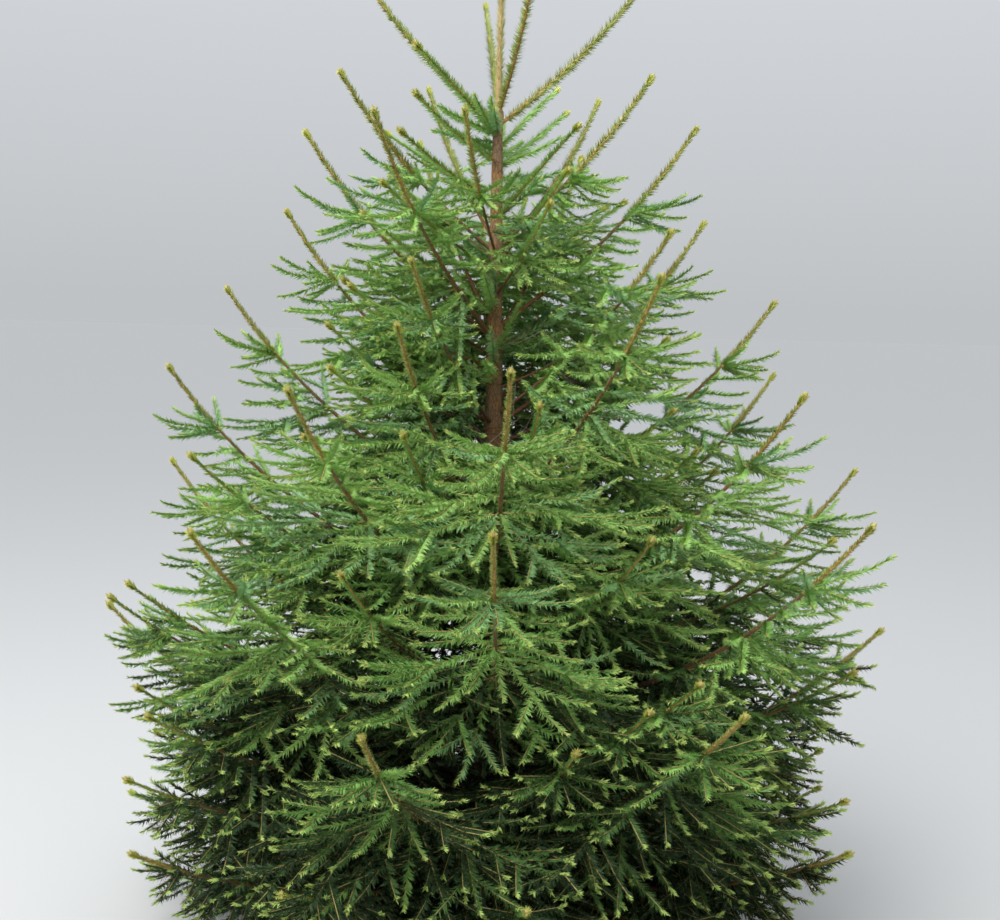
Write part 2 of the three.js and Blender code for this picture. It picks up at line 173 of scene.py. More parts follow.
def bark_finish(name, young, old, cleft, flakes, stretch, relief, roughness=0.85):
    material = bpy.data.materials.new(name)
    material.use_nodes = True
    tree = material.node_tree
    shader = tree.nodes["Principled BSDF"]
    place = put(tree, "ShaderNodeTexCoord").outputs["Object"]
    along = put(tree, "ShaderNodeMapping", {"Vector": place, "Scale": (1, 1, stretch)}).outputs["Vector"]
    slow = put(tree, "ShaderNodeTexNoise", {"Vector": place, "Scale": 14.0, "Detail": 3.0})
    grain = put(tree, "ShaderNodeTexNoise", {
        "Vector": along, "Scale": flakes * GRAIN_TO_FLAKES, "Detail": 4.0}).outputs["Fac"]
    cells = put(tree, "ShaderNodeTexVoronoi", {"Vector": along, "Scale": flakes}, feature="DISTANCE_TO_EDGE")
    patch = put(tree, "ShaderNodeMapRange", {
        "Value": slow.outputs["Fac"], "From Min": 0.38, "From Max": 0.62})
    skin = put(tree, "ShaderNodeMix", {
        0: patch.outputs["Result"], 6: (*young, 1), 7: (*old, 1)}, data_type="RGBA")
    shade = put(tree, "ShaderNodeMapRange", {
        "Value": grain, "From Min": 0.3, "From Max": 0.7, "To Min": 0.7, "To Max": 1.25})
    toned = put(tree, "ShaderNodeVectorMath", {0: skin.outputs[2], "Scale": shade.outputs["Result"]},
                operation="SCALE")
    edge = put(tree, "ShaderNodeMapRange", {
        "Value": cells.outputs["Distance"], "From Min": 0.0, "From Max": EDGE_OF_FLAKE}).outputs["Result"]
    colour = put(tree, "ShaderNodeMix", {
        0: edge, 6: (*cleft, 1), 7: toned.outputs["Vector"]}, data_type="RGBA")
    height = put(tree, "ShaderNodeMath", {0: edge, 1: grain}, operation="ADD")
    bump = put(tree, "ShaderNodeBump", {"Height": height.outputs[0], "Distance": relief, "Strength": 0.8})
    rough = put(tree, "ShaderNodeMapRange", {
        "Value": grain, "To Min": roughness - 0.12, "To Max": roughness + 0.1})
    tree.links.new(colour.outputs[2], shader.inputs["Base Color"])
    tree.links.new(bump.outputs["Normal"], shader.inputs["Normal"])
    tree.links.new(rough.outputs["Result"], shader.inputs["Roughness"])
    return material


BARKS = {  # young colour, old colour, colour of the clefts, flakes in a metre, stretch, relief in metres
    "bark": ((0.44, 0.215, 0.085), (0.29, 0.180, 0.100), (0.15, 0.080, 0.045), 150.0, 0.35, 0.0012),
    "bough_bark": ((0.34, 0.150, 0.055), (0.22, 0.120, 0.060), (0.09, 0.045, 0.020), 260.0, 1.0, 0.0012),
    "shoot_bark": ((0.58, 0.320, 0.085), (0.50, 0.290, 0.090), (0.30, 0.150, 0.040), 420.0, 1.0, 0.0006),
    "twig_bark": ((0.50, 0.400, 0.130), (0.40, 0.310, 0.095), (0.28, 0.210, 0.070), 420.0, 1.0, 0.0006),
    "dry_bark": ((0.150, 0.105, 0.070), (0.120, 0.095, 0.075), (0.07, 0.05, 0.035), 300.0, 1.0, 0.0006),
    "leader_bark": ((0.62, 0.420, 0.230), (0.50, 0.330, 0.160), (0.30, 0.180, 0.080), 300.0, 0.5, 0.0006),
    "bud_scales": ((0.56, 0.520, 0.150), (0.50, 0.420, 0.120), (0.38, 0.280, 0.080), 500.0, 1.0, 0.0004),
}
BARK_FINISHES = {name: bark_finish(name, *looks) for name, looks in BARKS.items()}
print(len(BARK_FINISHES), "barks")

# %% [markdown]
# ## The rule of the tree
# A spruce adds one whorl of boughs and one length of trunk each year. Its boughs do the same: at each
# yearly node they grow a strong pair of side shoots, and weaker ones in between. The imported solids
# follow that rule from named sizes and repeatable numbers, and the same sizes and numbers are written
# again here, so every bough and spray starts and ends where its solid does. Lengths are in
# millimetres until a mesh is made.

# %% Trunk, whorls and boughs, as in the solids
MM = 0.001
TREE_HEIGHT = 2550
FOOT_RADIUS, TIP_RADIUS = 38, 3
FLARE_SHARE, FLARE_HEIGHT, FLARE_LOBES, LOBE_SHARE = 0.3, 45, 5, 0.16
TRUNK_LEAN, TRUNK_WANDER, WANDER_PITCH = 0.003, 5, 420
WHORL_STAGGER = 13
BOUGH_STEPS, LIFT_POWER, SWAY_DEGREES, YEAR_POWER = 32, 1.2, 7, 1.15
BOUGH_RADIUS_SHARE, BOUGH_TIP_RADIUS, TAPER_EASE = 0.009, 2.2, 0.7
UP = np.array([0.0, 0.0, 1.0])

# height, length, rise at the trunk, rise at the tip, (bearing, share of the length) of each bough
WHORLS = [
    (1965, 480, 38, 54, [(10, 1), (98, 0.9), (168, 0.95), (285, 0.85)]),
    (1670, 540, 38, 58, [(255, 0.74), (350, 0.95), (48, 1), (120, 1), (190, 1)]),
    (1470, 655, 36, 58, [(236, 1), (358, 1), (62, 1), (118, 1), (178, 1)]),
    (1264, 740, 31, 57, [(244, 0.75), (324, 0.85), (20, 1), (95, 1), (165, 1)]),
    (1040, 860, 25, 55, [(251, 0.88), (297, 1.03), (5, 1), (80, 1), (172, 1)]),
    (800, 1000, 20, 55, [(242, 1.02), (272, 1.06), (318, 1.02), (22, 0.97), (100, 0.97), (182, 0.97)]),
    (570, 1110, 13, 52, [(234, 1), (270, 1.04), (317, 1.05), (12, 1), (92, 0.95), (162, 0.95)]),
    (350, 1060, 8, 46, [(258, 1.06), (297, 1.06), (358, 1), (80, 0.95), (178, 1)]),
    (160, 930, 0, 32, [(214, 1), (278, 0.95), (333, 1), (45, 1), (130, 1)]),
]


def repeatable(seed):
    state = (seed * 7919 + 104729) % 2147483647

    def draw():
        nonlocal state
        state = state * 16807 % 2147483647
        return state / 2147483647

    draw(), draw()
    return draw


def mix(a, b, share):
    return a + (b - a) * share


def trunk_centre(z):
    phase = z / WANDER_PITCH
    x = TRUNK_WANDER * math.sin(phase) - TRUNK_LEAN * z
    return np.array([x, TRUNK_WANDER * (math.cos(phase) - 1), z])


def trunk_radius(z):
    return mix(FOOT_RADIUS, TIP_RADIUS, min(z / TREE_HEIGHT, 1))


def headings(bearing, lift):
    turn, rise = np.radians(bearing), np.radians(lift)
    level = np.cos(rise)
    return np.stack([level * np.cos(turn), level * np.sin(turn), np.sin(rise)], -1)


def walk(start, bearing, lifts, length):
    """The points of a line that leaves start and has one step for each of its lifts."""
    steps = headings(np.broadcast_to(bearing, lifts.shape), lifts) * (length / len(lifts))
    return np.vstack([start, start + np.cumsum(steps, axis=0)])


def place_on(line, share):
    last = len(line) - 1
    k = min(int(share * last), last - 1)
    step = line[k + 1] - line[k]
    return line[k] + step * (share * last - k), step / np.linalg.norm(step)


def node_share(year, years):
    return (year / years) ** YEAR_POWER


class Shoot:
    """One axis: its points from root to tip, how many yearly lengths it has, and how it is dressed."""

    def __init__(self, line, length, years, seed, root_radius, tip_radius, roll=0.0, share=1.0, side=0):
        self.line, self.length, self.years, self.seed = line, length, years, seed
        self.root_radius, self.tip_radius = root_radius, tip_radius
        self.roll, self.share, self.side = roll, share, side


def bough_of(years, number):
    height, usual, lift, tip_lift, boughs = WHORLS[years - 1]
    bearing, share = boughs[number]
    length = usual * share
    sway = SWAY_DEGREES * (2 * repeatable(years * 10 + number)() - 1)
    out = (np.arange(BOUGH_STEPS) + 0.5) / BOUGH_STEPS
    root = trunk_centre(height + (1 if number % 2 else -1) * WHORL_STAGGER)
    line = walk(root, bearing + sway * (out - 0.5), mix(lift, tip_lift, out**LIFT_POWER), length)
    return Shoot(line, length, years, years * 10 + number, length * BOUGH_RADIUS_SHARE, BOUGH_TIP_RADIUS)


BOUGHS = [bough_of(years, number) for years, whorl in enumerate(WHORLS, 1) for number in range(len(whorl[4]))]
print(len(BOUGHS), "boughs,", round(sum(b.length for b in BOUGHS) * MM, 1), "m in all")

# %% Slighter boughs between the whorls
BETWEEN_SHARE_TOP, BETWEEN_SHARE_LOW, BETWEEN_SPREAD, BETWEEN_POWER = 0.62, 1.02, 0.25, 2.5
TWICE_AS_MANY = (1, 2, 3, 4, 5, 7, 8)  # years of the whorls with two such boughs in each gap
HIGH_PLACE, LOW_PLACE = (0.08, 0.42), (0.5, 0.85)  # shares of the way down to the next whorl
MIDDLE_OF_GAP = (0.4, 0.6)
NEAR_GROUND = (60, 900, 2, 34, [])  # where the lowest of them would join the trunk
BETWEEN_LOWER_TOP, BETWEEN_LOWER_LOW = 30, 10  # degrees that they rise less than the boughs of the whorls
LOWER_YEARS, SLIGHT_TIP = 5, 0.8
FIRST_BETWEEN = 200  # the boughs of the whorls have seeds below this
OPEN_FRONT, OPEN_YEARS = (255, 310), (3, 4)  # no bough here, so that the trunk shows through


def gap_after(whorl, number):
    """The first bearing and the width of a gap between two boughs of a whorl."""
    bearings = sorted(bearing for bearing, _ in whorl[4])
    first, second = bearings[number % len(bearings)], bearings[(number + 1) % len(bearings)]
    return first, (second - first) % 360


def boughs_between(years):
    """Shorter boughs under a whorl, by turns high in its own gaps and low in those of the next."""
    above, below = (WHORLS + [NEAR_GROUND])[years - 1:years + 1]
    boughs = []
    for number in range(len(above[4]) * (2 if years in TWICE_AS_MANY else 1)):
        seed = FIRST_BETWEEN + years * 10 + number
        draw = repeatable(seed)
        high = number % 2 == 0 or years == len(WHORLS)
        down = mix(*(HIGH_PLACE if high else LOW_PLACE), draw())
        first, gap = gap_after(above if high else below, number)
        bearing = (first + gap * mix(*MIDDLE_OF_GAP, draw())) % 360
        if years in OPEN_YEARS and OPEN_FRONT[0] < bearing < OPEN_FRONT[1]:
            continue
        height, length, lift, tip_lift = (mix(above[k], below[k], down) for k in range(4))
        reach = length * (1 + BETWEEN_SPREAD * (draw() - 0.5))
        reach *= mix(BETWEEN_SHARE_TOP, BETWEEN_SHARE_LOW, (years / len(WHORLS)) ** BETWEEN_POWER)
        out = (np.arange(BOUGH_STEPS) + 0.5) / BOUGH_STEPS
        lower = mix(BETWEEN_LOWER_TOP, BETWEEN_LOWER_LOW, min(years / LOWER_YEARS, 1))
        lift, tip_lift = lift - lower * draw(), tip_lift - lower
        line = walk(trunk_centre(height), bearing, mix(lift, tip_lift, out**LIFT_POWER), reach)
        boughs.append(Shoot(line, reach, years, seed, reach * BOUGH_RADIUS_SHARE,
                            BOUGH_TIP_RADIUS * SLIGHT_TIP))
    return boughs


BETWEEN = [bough for years in range(1, len(WHORLS) + 1) for bough in boughs_between(years)]
ALL_BOUGHS = BOUGHS + BETWEEN
print(len(BETWEEN), "slighter boughs,", round(sum(b.length for b in BETWEEN) * MM, 1), "m in all")

# %% [markdown]
# ## Side sprays
# The sprays of a bough are the source's too, with the same repeatable numbers: their place, length,
# fan, droop and roll. The solids show only the ones that fit clear of each other. Here all of them
# grow, and some weaker ones between, because real twigs pass through each other's space.

# %% Sprays by the rule of the solids
BARE_SHARE, YOUNG_BARE_SHARE = 0.3, 0.12
SPRAY_REACH, SPRAY_EXTRA, SPRAY_MOST, SPRAY_LEAST, SPRAY_STEPS = 0.74, 25, 400, 75, 6
FAN_TIP, FAN_ROOT, DROOP_TIP, DROOP_ROOT = 50, 62, 6, 26
WEAK_SHARE, WEAK_PLACES, SIDE_STEP, PLACE_JITTER = 0.72, (0.28, 0.5, 0.72), 0.06, 0.1
FIRST_YEAR_VIGOUR, VIGOUR_A_YEAR, VIGOUR_SPREAD = 0.65, 0.2, 0.3
FAN_SPREAD, DROOP_SPREAD, ROLL_SPREAD = 10, 14, 30
LIFT_KEPT, SAG_DEGREES, UPTURN_DEGREES = 0.75, 12, 14
SPRAY_RADIUS_SHARE, TWIG_TIP_RADIUS = 0.0032, 1.0


def side_line(parent, share, side, fan, droop, length, steps, tilt=0.0):
    """A line that leaves parent at an angle to it, sags, and turns up at its tip."""
    point, along = place_on(parent.line, share)
    across = np.cross(along, UP)
    across /= np.linalg.norm(across)
    over = np.cross(across, along)
    out_way = across * (side * math.cos(math.radians(tilt))) + over * math.sin(math.radians(tilt))
    start = along * math.cos(math.radians(fan)) + out_way * math.sin(math.radians(fan))
    bearing = math.degrees(math.atan2(start[1], start[0]))
    lift = math.degrees(math.asin(start[2])) * LIFT_KEPT - droop
    out = (np.arange(steps) + 0.5) / steps
    lifts = lift - SAG_DEGREES * np.sin(math.pi * out) + UPTURN_DEGREES * out * out
    return walk(point, bearing, lifts, length)


def spray_of(bough, root_share, year, side, strong, seed, reach=1.0, tilt=0.0, forward=0.0):
    draw = repeatable(seed)
    step = (PLACE_JITTER * (draw() - 0.5) + SIDE_STEP * side) / bough.years
    share = root_share + (0 if strong else step)
    age = min(FIRST_YEAR_VIGOUR + VIGOUR_A_YEAR * (bough.years - 1), 1)
    vigour = age * (1 if strong else WEAK_SHARE) * (1 + VIGOUR_SPREAD * (draw() - 0.5))
    length = min(SPRAY_REACH * bough.length * (1 - share) + SPRAY_EXTRA, SPRAY_MOST) * vigour * reach
    fan = mix(FAN_ROOT, FAN_TIP, share) - forward + FAN_SPREAD * (draw() - 0.5)
    droop = mix(DROOP_ROOT, DROOP_TIP, share) + DROOP_SPREAD * (draw() - 0.5)
    roll = ROLL_SPREAD * (draw() - 0.5)
    line = side_line(bough, share, side, fan, droop, length, SPRAY_STEPS, tilt)
    radius = TWIG_TIP_RADIUS + length * SPRAY_RADIUS_SHARE
    return Shoot(line, length, bough.years - year, seed, radius, TWIG_TIP_RADIUS, roll, share, side)


def sprays_of(bough, bare):
    sprays = []
    for year in range(bough.years):
        start, end = node_share(year, bough.years), node_share(year + 1, bough.years)
        places = [(start, True)] + [(mix(start, end, place), False) for place in WEAK_PLACES]
        for place, (share, strong) in enumerate(places):
            if year == bough.years - 1 and not strong:
                continue  # last year's length has grown no side shoots yet
            for side in (-1, 1):
                seed = (bough.seed * 20 + year) * 10 + place * 2 + (side > 0)
                sprays.append(spray_of(bough, share, year, side, strong, seed))
    return [spray for spray in sprays if spray.share > bare and spray.length > SPRAY_LEAST]


# Round each outer node some shoots stand above the flat pair, and more hang below it. The last node
# has two more that point well forward. Each is (side, tilt, reach, degrees forward).
ROUND_THE_NODE = ((-1, -48, 0.74, 0), (1, -48, 0.74, 0), (-1, 34, 0.74, 6), (1, 34, 0.74, 6),
                  (-1, -80, 0.5, 0), (1, -66, 0.6, 10))
ROUND_THE_LAST = ROUND_THE_NODE + ((-1, 10, 1.0, 20), (1, -6, 0.95, 20))
ROUNDED_YEARS, ROUND_JITTER, ROUND_LEAST = 3, 0.16, 0.7
INNER_BARE_SHARE = 0.12  # of the slighter boughs, which keep some green inside the crown


def round_the_nodes(bough):
    sprays = []
    for year in range(max(1, bough.years - ROUNDED_YEARS), bough.years):
        share = node_share(year, bough.years)
        around = ROUND_THE_LAST if year == bough.years - 1 else ROUND_THE_NODE
        for place, (side, tilt, reach, forward) in enumerate(around):
            seed = 400000 + (bough.seed * 20 + year) * 10 + place
            spot = share + ROUND_JITTER * (repeatable(seed)() - 0.5) / bough.years
            sprays.append(spray_of(bough, spot, year, side, True, seed, reach, tilt, forward))
    return [spray for spray in sprays if spray.length > SPRAY_LEAST * ROUND_LEAST]


def bare_share(bough):
    if bough.years <= 3:
        return YOUNG_BARE_SHARE
    return BARE_SHARE if bough.seed < FIRST_BETWEEN else INNER_BARE_SHARE


SPRAYS = [(bough, spray) for bough in ALL_BOUGHS
          for spray in sprays_of(bough, bare_share(bough)) + round_the_nodes(bough)]
print(len(SPRAYS), "sprays,", round(sum(spray.length for _, spray in SPRAYS) * MM), "m in all")

# %% [markdown]
# ## Short shoots on the trunk
# Near the top the trunk itself still bears short green shoots, most of them close under a whorl. They
# could be set by hand where they show. Here each turns on from the last by the same angle, as leaves
# do round a stem, so they stand out on every side and half hide the trunk.

# %% Short shoots on the trunk itself
TRUNK_SHOOT_YEARS, TRUNK_SHOOTS_A_YEAR, FIRST_TRUNK_SEED = 3, 18, 700
TRUNK_SHOOT_SHORT, TRUNK_SHOOT_LONG, TRUNK_SHOOT_RISE = 110, 240, 30
TURN_BETWEEN_SHOOTS, TURN_SPREAD = 137.5, 40
BELOW_WHORL, ABOVE_WHORL, CROWDING = 25, 40, 1.8


def trunk_shoots(years):
    """Side shoots that the trunk grew between two whorls, most of them close under the upper one."""
    shoots = []
    for number in range(TRUNK_SHOOTS_A_YEAR):
        seed = FIRST_TRUNK_SEED + years * 20 + number
        draw = repeatable(seed)
        height = mix(WHORLS[years - 1][0] - BELOW_WHORL, WHORLS[years][0] + ABOVE_WHORL, draw() ** CROWDING)
        bearing = TURN_BETWEEN_SHOOTS * number + TURN_SPREAD * draw()
        length, rise = mix(TRUNK_SHOOT_SHORT, TRUNK_SHOOT_LONG, draw()), TRUNK_SHOOT_RISE * draw()
        lifts = rise + UPTURN_DEGREES * (np.arange(SPRAY_STEPS) + 0.5) / SPRAY_STEPS
        line = walk(trunk_centre(height), bearing, lifts, length)
        shoots.append(Shoot(line, length, 1, seed, TWIG_TIP_RADIUS * 2, TWIG_TIP_RADIUS))
    return shoots


TRUNK_SHOOTS = {years: trunk_shoots(years) for years in range(1, TRUNK_SHOOT_YEARS + 1)}
print(sum(map(len, TRUNK_SHOOTS.values())), "short shoots on the trunk")

# %% [markdown]
# ## Twigs
# A spray is a small bough. It has yearly nodes of its own, with a pair of twigs at each and weaker
# twigs between, and a long twig branches once more. Last year's shoots have no twigs yet, which is
# why the crown ends in simple brushes. Twigs lie near the flat plane of their spray, hang a little
# low on the tree and rise a little high on it.

# %% Twigs of a spray, and theirs
TWIG_REACH, TWIG_EXTRA, TWIG_LEAST, YEAR_LEAST = 0.74, 20, 66, 145
TWIG_FAN, TWIG_STEPS = 42, 4
TWIG_DROOP_LOW, TWIG_DROOP_HIGH = 6, -14
WEAK_TWIG_SHARE, WEAK_TWIG_PLACE, TWIG_JITTER = 0.72, 0.55, 0.3
BRANCHING_LENGTH = 150  # a twig longer than this branches again


def twigs_of(parent, first_seed):
    years = max(1, min(parent.years, round(parent.length / YEAR_LEAST)))
    usual_droop = mix(TWIG_DROOP_LOW, TWIG_DROOP_HIGH, parent.line[0][2] / TREE_HEIGHT)
    twigs = []
    for year in range(1, years):
        places = [(year / years, 1.0)]
        if year < years - 1:
            places.append(((year + WEAK_TWIG_PLACE) / years, WEAK_TWIG_SHARE))
        for place, (share, vigour) in enumerate(places):
            for side in (-1, 1):
                seed = first_seed + year * 8 + place * 2 + (side > 0)
                draw = repeatable(seed)
                spot = share + TWIG_JITTER * (draw() - 0.5) / years
                length = (TWIG_REACH * parent.length * (1 - spot) + TWIG_EXTRA) * vigour
                length *= 1 + VIGOUR_SPREAD * (draw() - 0.5)
                fan = TWIG_FAN + FAN_SPREAD * (draw() - 0.5)
                droop = usual_droop + DROOP_SPREAD * (draw() - 0.5)
                tilt = parent.roll * side + ROLL_SPREAD * (draw() - 0.5)
                if length < TWIG_LEAST:
                    continue
                line = side_line(parent, spot, side, fan, droop, length, TWIG_STEPS, tilt)
                radius = TWIG_TIP_RADIUS + length * SPRAY_RADIUS_SHARE
                twigs.append(Shoot(line, length, years - year, seed * 40 + 7, radius, TWIG_TIP_RADIUS,
                                   parent.roll))
    return twigs


# %% Grow every side shoot
GROUND_CLEARANCE = 16
WINDOW_HALF, WINDOW_DEPTH, WINDOW_SILL, WINDOW_HEAD = 36, 650, 1265, 1600  # where the trunk shows in front
TIERS = ("top", "upper", "middle", "low")
WHORL_TIERS = dict(enumerate(("top",) * 3 + ("upper",) * 2 + ("middle",) * 2 + ("low",) * 2, 1))
side_shoots = []  # (tier, spray, shoot), the spray itself first


def has_room(shoot):
    """Clear of the ground, and not across the gap in front of the trunk."""
    x, y, z = shoot.line.T
    in_front = (abs(x) < WINDOW_HALF) & (y < 0) & (y > -WINDOW_DEPTH)
    return z.min() > GROUND_CLEARANCE and not (in_front & (z > WINDOW_SILL) & (z < WINDOW_HEAD)).any()


for bough, spray in SPRAYS:
    if not has_room(spray):
        continue
    twigs = list(filter(has_room, twigs_of(spray, 1000000 + spray.seed * 80)))
    fine = [finer for twig in twigs if twig.length > BRANCHING_LENGTH
            for finer in twigs_of(twig, 3000000 + twig.seed)]
    shoots = [spray] + twigs + list(filter(has_room, fine))
    side_shoots += [(WHORL_TIERS[bough.years], spray, shoot) for shoot in shoots]
for years, shoots in TRUNK_SHOOTS.items():
    side_shoots += [(WHORL_TIERS[years], shoot, shoot) for shoot in shoots]
print(len(side_shoots), "side shoots,", round(sum(row[2].length for row in side_shoots) * MM), "m in all")

# %% [markdown]
# ## Dry twigs inside the crown
# Near the trunk there is too little light for needles. The twigs there are dead, bare and brown-grey,
# and cross each other in all directions, so that one seldom sees through to the far side.

# %% Dry twigs
DRY_FROM, DRY_TO, DRY_SPACING, DRY_YEARS = 0.05, 0.42, 19, 4
DRY_SHORT, DRY_LONG, DRY_SIDE_SHARE = 90, 230, 0.5
DRY_ROOT_RADIUS, DRY_TIP_RADIUS = 1.7, 0.7
DRY_FAN, DRY_DROOP, DRY_TILT, DRY_PLACES = (45, 85), (-8, 24), (-75, 75), (0.25, 0.75)


def dry_twigs_of(bough):
    draw = repeatable(600000 + bough.seed)
    twigs = []

    def grow(parent, share, side, length, steps):
        fan, droop, tilt = (mix(*ends, draw()) for ends in (DRY_FAN, DRY_DROOP, DRY_TILT))
        line = side_line(parent, share, side, fan, droop, length, steps, tilt)
        twigs.append(Shoot(line, length, 1, 0, DRY_ROOT_RADIUS, DRY_TIP_RADIUS))
        return twigs[-1]

    count = round(bough.length * (DRY_TO - DRY_FROM) / DRY_SPACING)
    for number in range(count):
        share = mix(DRY_FROM, DRY_TO, (number + draw()) / count)
        twig = grow(bough, share, 1 if number % 2 else -1, mix(DRY_SHORT, DRY_LONG, draw()), 3)
        for side in (-1, 1):
            grow(twig, mix(*DRY_PLACES, draw()), side, twig.length * DRY_SIDE_SHARE, 2)
    return twigs


DRY_TWIGS = [twig for bough in ALL_BOUGHS if bough.years >= DRY_YEARS
             for twig in dry_twigs_of(bough) if has_room(twig)]
print(len(DRY_TWIGS), "dry twigs,", round(sum(twig.length for twig in DRY_TWIGS) * MM), "m in all")

# %% [markdown]
# ## Which shoots can be seen
# A real tree this size has millions of needles, more than a mesh can hold. They are drawn wider and
# fewer, and spent where they can be seen. To find out where that is, two crossed strips as wide as
# its brush of needles stand in for each shoot. Rays leave each shoot for the sky and the sides, and
# every strip on the way takes a share of their light. What gets out is the shoot's sight.

# %% Sight of each shoot, from 0 deep inside to 1 in the open
BRUSH_HALF, VEIL_KEPT, LEAST_LIGHT = 13.0, 0.4, 0.1
CLEAR_OF_BRUSH, CLEAR_OF_STRIP = 3, 4  # millimetres
STRETCH, LOOK_FROM = 110, 0.6  # millimetres of shoot that share one sight, and where it is taken
LOOKS = [(0.0, 90.0)] + [(bearing, 8.0) for bearing in range(0, 360, 40)] + [
    (bearing, 38.0) for bearing in range(20, 380, 60)]
RAYS = [Vector(headings(*look)) for look in LOOKS]


def cut(line, start, end, steps):
    """The stretch of a line between two shares of its length."""
    places = np.linspace(start, end, steps + 1) * (len(line) - 1)
    return np.stack([np.interp(places, np.arange(len(line)), line[:, axis]) for axis in range(3)], -1)


def ways_of(line, roll):
    """Along, across and over a rolled spray, at each point of its line."""
    along = np.gradient(line, axis=0)
    along /= np.linalg.norm(along, axis=1)[:, None]
    level = np.cross(along, UP)
    level /= np.maximum(np.linalg.norm(level, axis=1), 1e-6)[:, None]
    upright = np.cross(level, along)
    turn = math.radians(roll)
    over = upright * math.cos(turn) + level * math.sin(turn)
    return along, np.cross(along, over), over


def strips_of(shoots):
    corners, faces = [], []
    for shoot in shoots:
        line = cut(shoot.line, 0, 1, 2)
        _, across, over = ways_of(line, shoot.roll)
        for way in (across, over):
            k = len(corners)
            corners += [*(line + way * BRUSH_HALF), *(line - way * BRUSH_HALF)]
            faces += [(k, k + 1, k + 4, k + 3), (k + 1, k + 2, k + 5, k + 4)]
    return BVHTree.FromPolygons([tuple(corner) for corner in corners], faces)


def sight_of(point, strips):
    total = 0
    for look in RAYS:
        light, start = 1.0, point + look * (BRUSH_HALF + CLEAR_OF_BRUSH)
        while light > LEAST_LIGHT:
            hit = strips.ray_cast(start, look)[0]
            if hit is None:
                total += light
                break
            light *= VEIL_KEPT
            start = hit + look * CLEAR_OF_STRIP
    return total / len(RAYS)


strips = strips_of([shoot for _, _, shoot in side_shoots])
stretches = []  # (tier, spray, shoot, share it starts at, share it ends at, sight)
for tier, spray, shoot in side_shoots:
    ends = np.linspace(0, 1, max(1, round(shoot.length / STRETCH)) + 1)
    for start, end in zip(ends, ends[1:]):
        shoot.sight = sight_of(Vector(place_on(shoot.line, mix(start, end, LOOK_FROM))[0]), strips)
        stretches.append((tier, spray, shoot, start, end, shoot.sight))
sights = np.array([row[5] for row in stretches])
print("sight, by tenths:", np.quantile(sights, np.linspace(0, 1, 11)).round(3).tolist())

# %% [markdown]
# ## Dressing the shoots
# Each spray's green is painted light and shade. A score from how open its shoot is and how high the
# spray starts, with a repeatable number added, picks deep or dark green inside and low down, as
# painted shade, leaf green between, and bright or blue green above and outside, as painted light.
# Every young tip in the open is fresh yellow-green. The leading shoot of each bough is last year's,
# orange under olive and pale straw needles, and bright at its tip. Hidden shoots get fewer needles,
# and broader ones, so that little daylight shows through the crown.

# %% What each shoot wears
NEEDLE_BUDGET = 960000
HIDDEN_SPACING, BARE_SPACING = 3.2, 0.8  # times the usual spacing
HIDDEN_SIGHT, LIT_SIGHT, OPEN_SIGHT, BARE_SIGHT = 0.02, 0.24, 0.3, 0.5
# painted light and shade: weights of sight and height in the score that picks a spray's green, and the shade
# taken off it
LIGHT_OF_SIGHT, LIGHT_OF_HEIGHT, LIGHT_SPREAD, PAINTED_SHADE = 0.45, 3.0, 0.5, 0.76
# painted shade: a spray whose score stays under a step gets that darker green
PAINTED_SHADE_STEPS, BLUE_SHARE = ((0.30, "deep"), (0.50, "dark"), (0.72, "leaf")), 0.3
FRESH_TIP, FRESH_SIGHT, FRESH_SIZE = 16, 0.1, 0.95  # the fresh tip of a young shoot, in millimetres
SPRAY_BARE, BOUGH_BARE = 0.06, 0.05  # share without needles at the root
TRUNK_NEEDLES = 1.3  # times the usual size


def between(low, high, value):
    return min(max((value - low) / (high - low), 0), 1)


def painted_light_green_of(spray, sight):
    draw = repeatable(5000000 + spray.seed)
    # painted light and shade: the more open and the higher the spray, the lighter the green it gets
    light = LIGHT_OF_SIGHT * between(HIDDEN_SIGHT, LIT_SIGHT, sight) - PAINTED_SHADE
    light += LIGHT_OF_HEIGHT * spray.line[0][2] / TREE_HEIGHT + LIGHT_SPREAD * (draw() - 0.5)
    for most, colour in PAINTED_SHADE_STEPS:
        if light < most:
            return colour
    return "blue" if draw() < BLUE_SHARE else "bright"


on_the_trunk = {shoot for shoots in TRUNK_SHOOTS.values() for shoot in shoots}
dressed = []  # (tier, colour, shoot, share it starts at, share it ends at, spacing, needle size)
for tier, spray, shoot, start, end, sight in stretches:
    spacing = mix(HIDDEN_SPACING, 1.0, between(HIDDEN_SIGHT, OPEN_SIGHT, sight))
    spacing *= mix(1.0, BARE_SPACING, between(OPEN_SIGHT, BARE_SIGHT, sight))
    tip = 1 - FRESH_TIP / shoot.length
    fresh = tip if end == 1 and sight > FRESH_SIGHT and tip > start else end
    first = max(start, SPRAY_BARE if shoot is spray else 0.0)
    size = TRUNK_NEEDLES if shoot in on_the_trunk else 1.0
    dressed.append((tier, painted_light_green_of(spray, sight), shoot, first, fresh, spacing / size, size))
    if fresh < end:
        dressed.append((tier, "fresh", shoot, fresh, 1, spacing, FRESH_SIZE))

